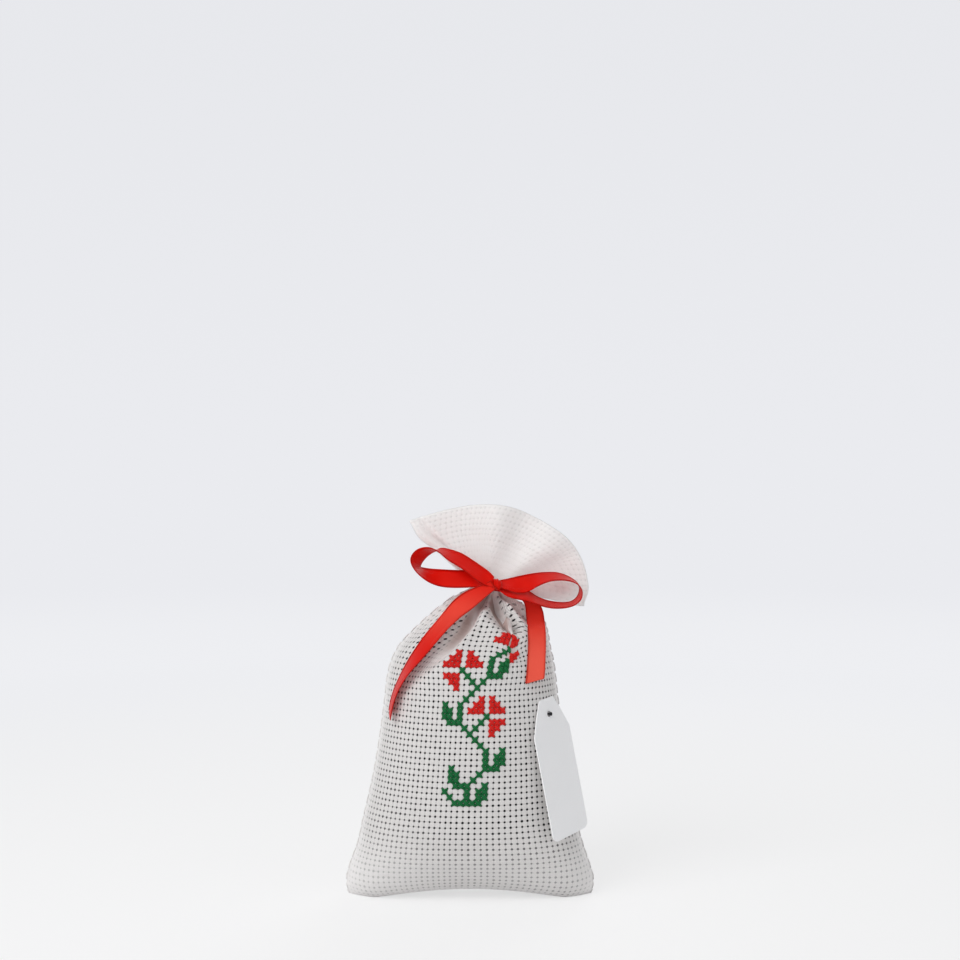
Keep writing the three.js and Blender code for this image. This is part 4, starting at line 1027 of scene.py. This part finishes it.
class SACHET_OT_embroidery(Operator):
    """Work the vine, its leaves and its three flowers in cross stitch"""
    bl_idname = "sachet.embroidery"
    bl_label = "Cross Stitch"
    bl_options = {"REGISTER", "UNDO"}

    def execute(self, context):
        settings, cloth = context.scene.sachet_stitch, context.scene.sachet_cloth
        pitch = cloth.pitch / MM
        sides = np.arange(FIRST_CELL - 0.5, LAST_CELL + 0.51, 1 / PER_CELL)
        lengths = np.arange(CHART_ROWS[0], CHART_ROWS[1] + 0.01, 1 / PER_CELL)
        at, _, _ = heights_by_length(lengths * pitch)
        points, normals, _ = panel_table(FRONT, sides, at, pitch)
        self.cloth = (sides[0], lengths[0], points, normals)
        self.radius, self.rise = settings.thread / MM, settings.rise / MM
        red = floss_material("red stitching floss", settings.petal)
        green = floss_material("green stitching floss", settings.leaf)
        vine = []
        for name, centre, stem in FLOWERS:
            vine += cells_along(centre, stem, STEM_CELLS)
            quarters = [q for q in ((-1, 1), (1, 1), (-1, -1), (1, -1)) if q != stem]
            for number, quarter in enumerate(quarters, 1):
                node = f"{name}_petal_{number}"
                settle(self.patch(node, petal_cells(centre, quarter)), "sachet", red, "petal_thread", node)
        for column, row, turn in LEAVES:
            vine += [(column + turn * across, row + up) for across, up in LEAF_CELLS]
        for start, step, count in VINE_RUNS:
            vine += cells_along(start, step, count)
        vine = sorted(set(vine))
        settle(self.patch("vine_stitching", vine), "sachet", green, "leaf_thread", "vine_stitching")
        return {"FINISHED"}

    def patch(self, name, cells):
        bm = bmesh.new()
        for column, row in cells:
            for slant, level in ((1, 0.0), (-1, 0.75)):
                for strand in (-1, 1):
                    self.leg(bm, column, row, slant, level, strand)
        close_up(bm)
        return new_object(name, bm)

    def leg(self, bm, column, row, slant, level, strand):
        """One strand of a leg, from hole to hole over the woven block."""
        first_column, first_row, points, normals = self.cloth
        share = np.linspace(0, 1, 7)
        gap = STRANDS_APART * strand * np.sin(share * math.pi) ** 0.5
        across = (column - 0.5 + share + gap * -0.7 - first_column) * PER_CELL
        up = (row - 0.5 + (share if slant > 0 else 1 - share) + gap * 0.7 * slant - first_row) * PER_CELL
        path, out = table_at(points, up, across), table_at(normals, up, across)
        arch = np.sin(share * math.pi) ** 0.6
        height = -LEG_SUNK + arch * (LEG_SUNK + self.rise * 0.6 + level * self.rise)
        thick = self.radius * (0.9 + 0.1 * arch)
        lay_tube(bm, path + out * height[:, None], out, thick * 1.15, thick * 0.9, 5)


def table_at(table, rows, columns):
    """Reads a table of places between its entries."""
    rows = np.clip(rows, 0, table.shape[0] - 1.001)
    columns = np.clip(columns, 0, table.shape[1] - 1.001)
    j, i = rows.astype(int), columns.astype(int)
    y, x = (rows - j)[:, None], (columns - i)[:, None]
    return ((table[j, i] * (1 - x) + table[j, i + 1] * x) * (1 - y)
            + (table[j + 1, i] * (1 - x) + table[j + 1, i + 1] * x) * y)


def surface_of(*names):
    """A tree of the finished outside of some pieces, for laying the ribbon on them."""
    bm = bmesh.new()
    for name in names:
        bm.from_mesh(bpy.data.objects[name].data)
    tree = BVHTree.FromBMesh(bm)
    bm.free()
    return tree


def front_y(tree, x, z):
    """Depth in mm of the front at a place of the front view."""
    hit = tree.ray_cast(Vector((x * MM, -0.1, z * MM)), Vector((0, 1, 0)))[0]
    return hit.y / MM if hit else -4.0


def loop_edges(shares, count, width):
    """Both edges of a loop keep the ribbon's width: what the front view hides of it runs in depth."""
    knots = np.linspace(0, 1, len(shares))
    at = np.linspace(0, 1, count)
    near_x, near_z, far_x, far_z, middle = (
        through(knots, column, at) * BOW_REACH for column in np.array(shares).T)
    gathered = np.minimum(smooth(0, 0.1, at), 1 - smooth(0.9, 1, at))
    wide = width * (0.6 + 0.4 * gathered)
    seen = np.minimum(np.hypot(near_x - far_x, near_z - far_z), wide)
    hidden = np.sqrt(wide**2 - seen**2) / 2
    x, y, z = KNOT
    near = np.stack([x + near_x, y + middle - hidden, z + near_z], axis=1)
    far = np.stack([x + far_x, y + middle + hidden, z + far_z], axis=1)
    return near, far


def tail_edges(tree, shares, count, width, side, start, facing_at):
    """A tail leaves the knot and then lies over the folds of the front, turned the way facing_at says.

    start gives its depth in mm, its share of the full width and where along it the width is full.
    """
    start_y, narrow, full_at = start
    route = np.array(shares) * BOW_REACH + (KNOT[0], KNOT[2])
    gone = gone_along(route)
    at = np.linspace(0, 1, count)
    x, z = (through(gone / gone[-1], line, at) for line in route.T)
    along = unit(np.stack([np.gradient(x), np.zeros(count), np.gradient(z)], axis=1))
    reach = 3.0

    def nearest(places):
        """The part of the front that stands out most round a place, which the ribbon rides on."""
        around = ((0, 0), (-1.5, 0), (1.5, 0), (0, -1.5), (0, 1.5))
        return np.array([min(front_y(tree, px + dx, pz + dz) for dx, dz in around) for px, pz in places])

    lie = soften(nearest(zip(x, z)), 8)
    slope_x = (nearest(zip(x + reach, z)) - nearest(zip(x - reach, z))) / (2 * reach)
    slope_z = (nearest(zip(x, z + reach)) - nearest(zip(x, z - reach))) / (2 * reach)
    normal = unit(np.stack([soften(slope_x, 12), -np.ones(count), soften(slope_z, 12)], axis=1))
    share = smooth(0.05, 0.4, at)
    middle = np.stack([x, start_y * (1 - share) + (lie - TAIL_AHEAD) * share, z], axis=1)
    facing = np.array([facing_at(Vector(n), float(a)).normalized() for n, a in zip(normal, at)])
    across = unit(np.cross(facing, along) * side)
    half = (width * (narrow + (1 - narrow) * smooth(0, full_at, at)) / 2)[:, None]
    lift = np.zeros(count)
    for part in (-1, -0.5, 0, 0.5, 1):
        spots = middle + across * half * part
        under = np.array([front_y(tree, spot[0], spot[2]) for spot in spots])
        lift = np.maximum(lift, spots[:, 1] - under + TAIL_CLEAR)
    lift = np.maximum(soften(lift, 6), lift * 0.98)
    middle[:, 1] -= soften(lift, 2)
    return middle - across * half, middle + across * half


def soften(values, times):
    """Evens out a row of numbers, keeping its two ends."""
    values = np.array(values, float)
    for _ in range(times):
        values[1:-1] = values[1:-1] * 0.5 + (values[2:] + values[:-2]) * 0.25
    return values


def make_strip(name, near, far, settings, material, crown=0.0, cut=0.0):
    """A ribbon between two edges, with a firm woven edge on either side.

    crown is how much its middle stands out, and cut how much its last end slants, both in mm.
    """
    share = np.linspace(0, 1, RIBBON_ROWS + 1)[:, None, None]
    table = near * (1 - share) + far * share
    along = unit(np.gradient(table, axis=1))
    out = unit(np.cross(along, unit(far - near)))
    reach = (np.linspace(0, 1, len(near)) ** 8)[:, None]
    table = table + out * crown * (4 * share * (1 - share)) - along[:, -1:] * (cut * (1 - share)) * reach
    bm = bmesh.new()
    lay_grid(bm, table)
    bmesh.ops.solidify(bm, geom=bm.faces[:], thickness=settings.thickness)
    rim = settings.thickness / MM * 0.75
    for k, line in ((0, table[0]), (-1, table[-1])):
        lay_tube(bm, line, out[k], rim, rim, 6)
    close_up(bm)
    piece = new_object(name, bm)
    give_uv(piece, strip_uv(places_of(piece), near, far))
    return settle(piece, "sachet", material, "ribbon", name)


def strip_uv(places, near, far):
    """Across the ribbon from 0 to 1, and along it in mm, for each corner of its mesh."""
    middle, gone = (near + far) / 2, gone_along(near)
    found = np.empty((len(places), 2))
    for n, place in enumerate(places):
        k = int(np.argmin(((middle - place) ** 2).sum(axis=1)))
        across = far[k] - near[k]
        found[n] = (np.dot(place - near[k], across) / np.dot(across, across), gone[k])
    return found


class SACHET_OT_ribbon(Operator):
    """Tie one satin ribbon round the neck in a bow with two loops and two tails"""
    bl_idname = "sachet.ribbon"
    bl_label = "Ribbon Bow"
    bl_options = {"REGISTER", "UNDO"}

    def execute(self, context):
        settings = context.scene.sachet_ribbon
        width = settings.width / MM
        material = satin_material(settings)
        tree = surface_of("front_panel_finish", "back_panel_finish")
        for name, shares in (("ribbon_loop_left", LOOP_LEFT), ("ribbon_loop_right", LOOP_RIGHT)):
            make_strip(name, *loop_edges(shares, 90, width), settings, material)

        def turned_left(normal, at):
            share = 0.48 * smooth(0, 0.4, at) + 0.22 * smooth(0.45, 0.8, at)
            return normal.lerp(Vector((-1, 0, 0)), float(share))

        def turned_forwards(normal, _):
            return normal.lerp(Vector((0, -1, 0)), 0.55)

        edges = (tail_edges(tree, TAIL_LEFT, 60, width, 1, TAIL_LEFT_START, turned_left),
                 tail_edges(tree, TAIL_RIGHT, 60, width, -1, TAIL_RIGHT_START, turned_forwards))
        left, right = (make_strip(name, *pair, settings, material, TAIL_CROWN, TAIL_CUT)
                       for name, pair in zip(("ribbon_tail_left", "ribbon_tail_right"), edges))
        # Painted highlight: the satin is painted shining where a tail lies open to the light, by height in
        # mm
        give_value(left, "painted_highlight", 0.42 * bell((places_of(left)[:, 2] - 94) / 7))
        give_value(right, "painted_highlight", 0.12 + 0.75 * (1 - smooth(78, 97, places_of(right)[:, 2])))
        self.band(settings, material)
        self.knot(material)
        return {"FINISHED"}

    def band(self, settings, material):
        """The ribbon gathered round the neck, crumpled to a narrow ring."""
        turn = np.linspace(0, 2 * math.pi, 97)
        tilt = -math.atan(NECK_SLOPE)
        rings = []
        for share in np.linspace(-1, 1, 7):
            pinch = BAND_RADIUS + BAND_FULLNESS * (1 - share**2) + 0.05 * np.sin(turn * 5 + share * 2)
            x, y = pinch * np.cos(turn), pinch * np.sin(turn)
            z = share * BAND_HALF_HEIGHT + 0.12 * np.sin(turn * 3 + 1) * (1 - abs(share))
            rings.append(np.stack([NECK_X + x * math.cos(tilt) + z * math.sin(tilt), y,
                                   NECK_HEIGHT - x * math.sin(tilt) + z * math.cos(tilt)], axis=1))
        bm = bmesh.new()
        lay_grid(bm, np.stack(rings))
        bmesh.ops.remove_doubles(bm, verts=bm.verts, dist=SAME_PLACE)
        centre = Vector((NECK_X, 0, NECK_HEIGHT)) * MM
        face_outwards(bm, lambda face: face.calc_center_median() - centre)
        bmesh.ops.solidify(bm, geom=bm.faces[:], thickness=settings.thickness)
        close_up(bm)
        piece = new_object("ribbon_neck_band", bm)
        places = places_of(piece)
        angle = np.arctan2(places[:, 1], places[:, 0] - NECK_X)
        give_uv(piece, np.stack([(places[:, 2] - NECK_HEIGHT) / 2.5 + 0.5, angle * 6.5], axis=1))
        settle(piece, "sachet", material, "ribbon", "ribbon_neck_band")

    def knot(self, material):
        """The ribbon drawn once round the crossing, with soft gathers along it."""
        x0, y0, z0 = KNOT_MIDDLE
        half_wide, half_deep, half_high = KNOT_HALF
        turn = np.linspace(0, 2 * math.pi, 49)
        rings = []
        for share in np.linspace(-1, 1, 15):
            swell = (1 - abs(share) ** 2.6) ** 0.5
            gather = 0.13 * np.sin(share * 8 + turn) * swell + 0.05 * np.sin(share * 17 - turn * 2) * swell
            high = half_high * (0.62 + 0.38 * swell) + gather
            deep = half_deep * (0.55 + 0.45 * swell) + gather
            x = share * half_wide + 0.25 * np.sin(turn + 0.4)
            rings.append(np.stack([x0 + x, y0 - deep * np.cos(turn), z0 + high * np.sin(turn)
                                   - share * 0.35], axis=1))
        ends = [np.repeat(r.mean(axis=0)[None], 49, axis=0) for r in (rings[0], rings[-1])]
        bm = bmesh.new()
        lay_grid(bm, np.stack([ends[0]] + rings + [ends[1]]))
        close_up(bm)
        piece = new_object("ribbon_knot", bm)
        places = places_of(piece)
        angle = np.arctan2(places[:, 2] - z0, -(places[:, 1] - y0))
        give_uv(piece, np.stack([(places[:, 0] - x0) / 3.2 + 0.5, angle * 2], axis=1))
        settle(piece, "sachet", material, "ribbon", "ribbon_knot")


class SACHET_OT_tag(Operator):
    """Finish the card tag and pass its dark thread through the hole"""
    bl_idname = "sachet.tag"
    bl_label = "Card Tag"
    bl_options = {"REGISTER", "UNDO"}

    def execute(self, context):
        settings = context.scene.sachet_tag
        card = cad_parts["swing_tag"]
        card.data.materials.clear()
        card.data.materials.append(card_material(settings))
        out, up = TAG_OUT.normalized(), TAG_UP.normalized()
        across = up.cross(out).normalized()
        radius = settings.thread_radius / MM

        def spot(right, rise, forward):
            """A place beside, above and in front of the hole, by mm."""
            return TAG_HOLE + across * right + up * rise + out * forward

        bm = bmesh.new()
        turns = np.linspace(0, 1, 40)
        coil = [spot(0.4 * math.cos(a * 4.2 * math.pi + 0.5), 0.36 * math.sin(a * 4.2 * math.pi + 0.5),
                     0.7 + 0.3 * a) for a in turns]
        stem = [spot(0, 0, d) for d in np.linspace(-0.9, 0.5, 8)]
        tail = [spot(0.35 + 0.15 * a, -0.15 - 0.5 * a, 0.95 - 0.2 * a) for a in np.linspace(0, 1, 8)]
        for line, size in ((stem, 1.3), (coil, 1.0), (tail, 0.8)):
            path = np.array(line)
            facing = np.array(up if line is stem else out) + np.array(across) * 0.1
            lay_tube(bm, path, np.broadcast_to(facing, path.shape), radius * size, radius * size, 8)
        close_up(bm)
        material = floss_material("dark tag thread", settings.thread_colour, 0.8)
        settle(new_object("tag_stitch", bm), "sachet", material, "knot_thread", "tag_stitch")
        return {"FINISHED"}


class SACHET_OT_stage(Operator):
    """Set out the pale floor and backdrop, the soft lights and the camera"""
    bl_idname = "sachet.stage"
    bl_label = "Stage"
    bl_options = {"REGISTER", "UNDO"}

    def execute(self, context):
        settings = context.scene.sachet_stage
        scene = context.scene
        scene.view_settings.view_transform = "Standard"
        self.floor()
        self.lights(settings)
        self.room(scene, settings)
        camera = bpy.data.cameras.new("camera")
        piece = bpy.data.objects.new("camera", camera)
        scene.collection.objects.link(piece)
        scene.camera = piece
        camera.sensor_width, camera.lens = CAMERA_SENSOR, CAMERA_LENS
        camera.shift_x, camera.shift_y = CAMERA_SHIFT
        camera.clip_start, camera.clip_end = CAMERA_CLIP
        piece.location = CAMERA_PLACE
        piece.rotation_euler = (math.radians(90 - CAMERA_DOWN), 0, 0)
        return {"FINISHED"}

    def floor(self):
        """A wide flat floor. Its shadow shows near the sachet; far off it takes the room's colour."""
        bm = bmesh.new()
        bmesh.ops.create_circle(bm, cap_ends=True, segments=96, radius=FLOOR_RADIUS)
        bm.normal_update()
        if bm.faces[:][0].normal.z < 0:
            bmesh.ops.reverse_faces(bm, faces=bm.faces)
        floor = new_object("studio_floor", bm)
        material, wires, shader, place = new_material("pale studio paper")
        wires.fill(shader, Base_Color=(0.93, 0.93, 0.935, 1), Roughness=0.9, Specular_IOR_Level=0.1)
        glow = wires.node("ShaderNodeEmission")
        away = wires.vector("LENGTH", place["Object"])
        colour = wires.mix(wires.spread(away, 0.0, 0.6), opaque(FLOOR_NEAR), opaque(FLOOR_FAR))
        wires.fill(glow.inputs, Color=wires.mix(wires.spread(away, 0.65, 1.6), colour, opaque(HORIZON)))
        path = wires.node("ShaderNodeLightPath")
        seen = wires.times(path.outputs["Is Camera Ray"], wires.spread(away, 0.1, 0.65, 0.64, 1.0))
        end, principled = (next(n for n in wires.tree.nodes if n.type == kind)
                           for kind in ("OUTPUT_MATERIAL", "BSDF_PRINCIPLED"))
        wires.fill(end.inputs, Surface=wires.blend(seen, principled, glow))
        floor.data.materials.append(material)

    def lights(self, settings):
        for name, place, power in (("key light", KEY_PLACE, settings.key_power),
                                   ("fill light", FILL_PLACE, settings.fill_power),
                                   ("back light", BACK_PLACE, settings.back_power)):
            light = bpy.data.lights.new(name, "AREA")
            light.energy, light.size = power, LIGHT_SIZE
            lamp = bpy.data.objects.new(name, light)
            bpy.context.scene.collection.objects.link(lamp)
            lamp.location = place
            aim = Vector(LIGHTS_AIM) - Vector(place)
            lamp.rotation_euler = aim.to_track_quat("-Z", "Y").to_euler()

    def room(self, scene, settings):
        """An even light all round, which cameras and reflections see as a pale wall."""
        world = bpy.data.worlds.new("soft room")
        scene.world = world
        world.use_nodes = True
        wires = Wiring(world.node_tree)
        world.node_tree.nodes.clear()
        light, wall = wires.node("ShaderNodeBackground"), wires.node("ShaderNodeBackground")
        wires.fill(light.inputs, Color=(0.97, 0.98, 1.0, 1), Strength=settings.sky)
        parts = wires.split(wires.node("ShaderNodeTexCoord").outputs["Generated"])
        rise = wires.spread(parts["Z"], 0.0, 0.35)
        wires.fill(wall.inputs, Color=wires.mix(rise, opaque(HORIZON), opaque(WALL_TOP)))
        path = wires.node("ShaderNodeLightPath").outputs
        seen = wires.math("MAXIMUM", path["Is Glossy Ray"], path["Is Transmission Ray"])
        seen = wires.math("MAXIMUM", path["Is Camera Ray"], seen)
        end = wires.node("ShaderNodeOutputWorld")
        wires.fill(end.inputs, Surface=wires.blend(seen, light, wall))


class SACHET_PT_panel(Panel):
    bl_label = "Lavender Sachet"
    bl_idname = "SACHET_PT_panel"
    bl_space_type = "VIEW_3D"
    bl_region_type = "UI"
    bl_category = "Sachet"

    def draw(self, context):
        for name, (_, *operators) in SETTINGS.items():
            box = self.layout.box()
            settings = getattr(context.scene, name)
            for prop in settings.bl_rna.properties:
                if prop.identifier not in {"rna_type", "name"}:
                    box.prop(settings, prop.identifier)
            for operator in operators:
                box.operator(operator)


# The settings of the scene, with the operators that each group of them is for
SETTINGS = {
    "sachet_cloth": (SachetClothSettings, "sachet.cloth"),
    "sachet_stitch": (SachetStitchSettings, "sachet.seams", "sachet.embroidery"),
    "sachet_lavender": (SachetLavenderSettings, "sachet.lavender"),
    "sachet_ribbon": (SachetRibbonSettings, "sachet.ribbon"),
    "sachet_tag": (SachetTagSettings, "sachet.tag"),
    "sachet_stage": (SachetStageSettings, "sachet.stage"),
}
CLASSES = (
    *(group for group, *_ in SETTINGS.values()), SACHET_OT_cloth, SACHET_OT_seams, SACHET_OT_lavender,
    SACHET_OT_embroidery, SACHET_OT_ribbon, SACHET_OT_tag, SACHET_OT_stage, SACHET_PT_panel,
)


def register():
    for cls in CLASSES:
        bpy.utils.register_class(cls)
    for name, (group, *_) in SETTINGS.items():
        setattr(bpy.types.Scene, name, PointerProperty(type=group))


def unregister():
    for name in SETTINGS:
        delattr(bpy.types.Scene, name)
    for cls in reversed(CLASSES):
        bpy.utils.unregister_class(cls)


def main():
    register()
    bpy.ops.sachet.cloth()
    bpy.ops.sachet.seams()
    bpy.ops.sachet.lavender()
    bpy.ops.sachet.embroidery()
    bpy.ops.sachet.ribbon()
    bpy.ops.sachet.tag()
    bpy.ops.sachet.stage()


if __name__ == "__main__":
    main()
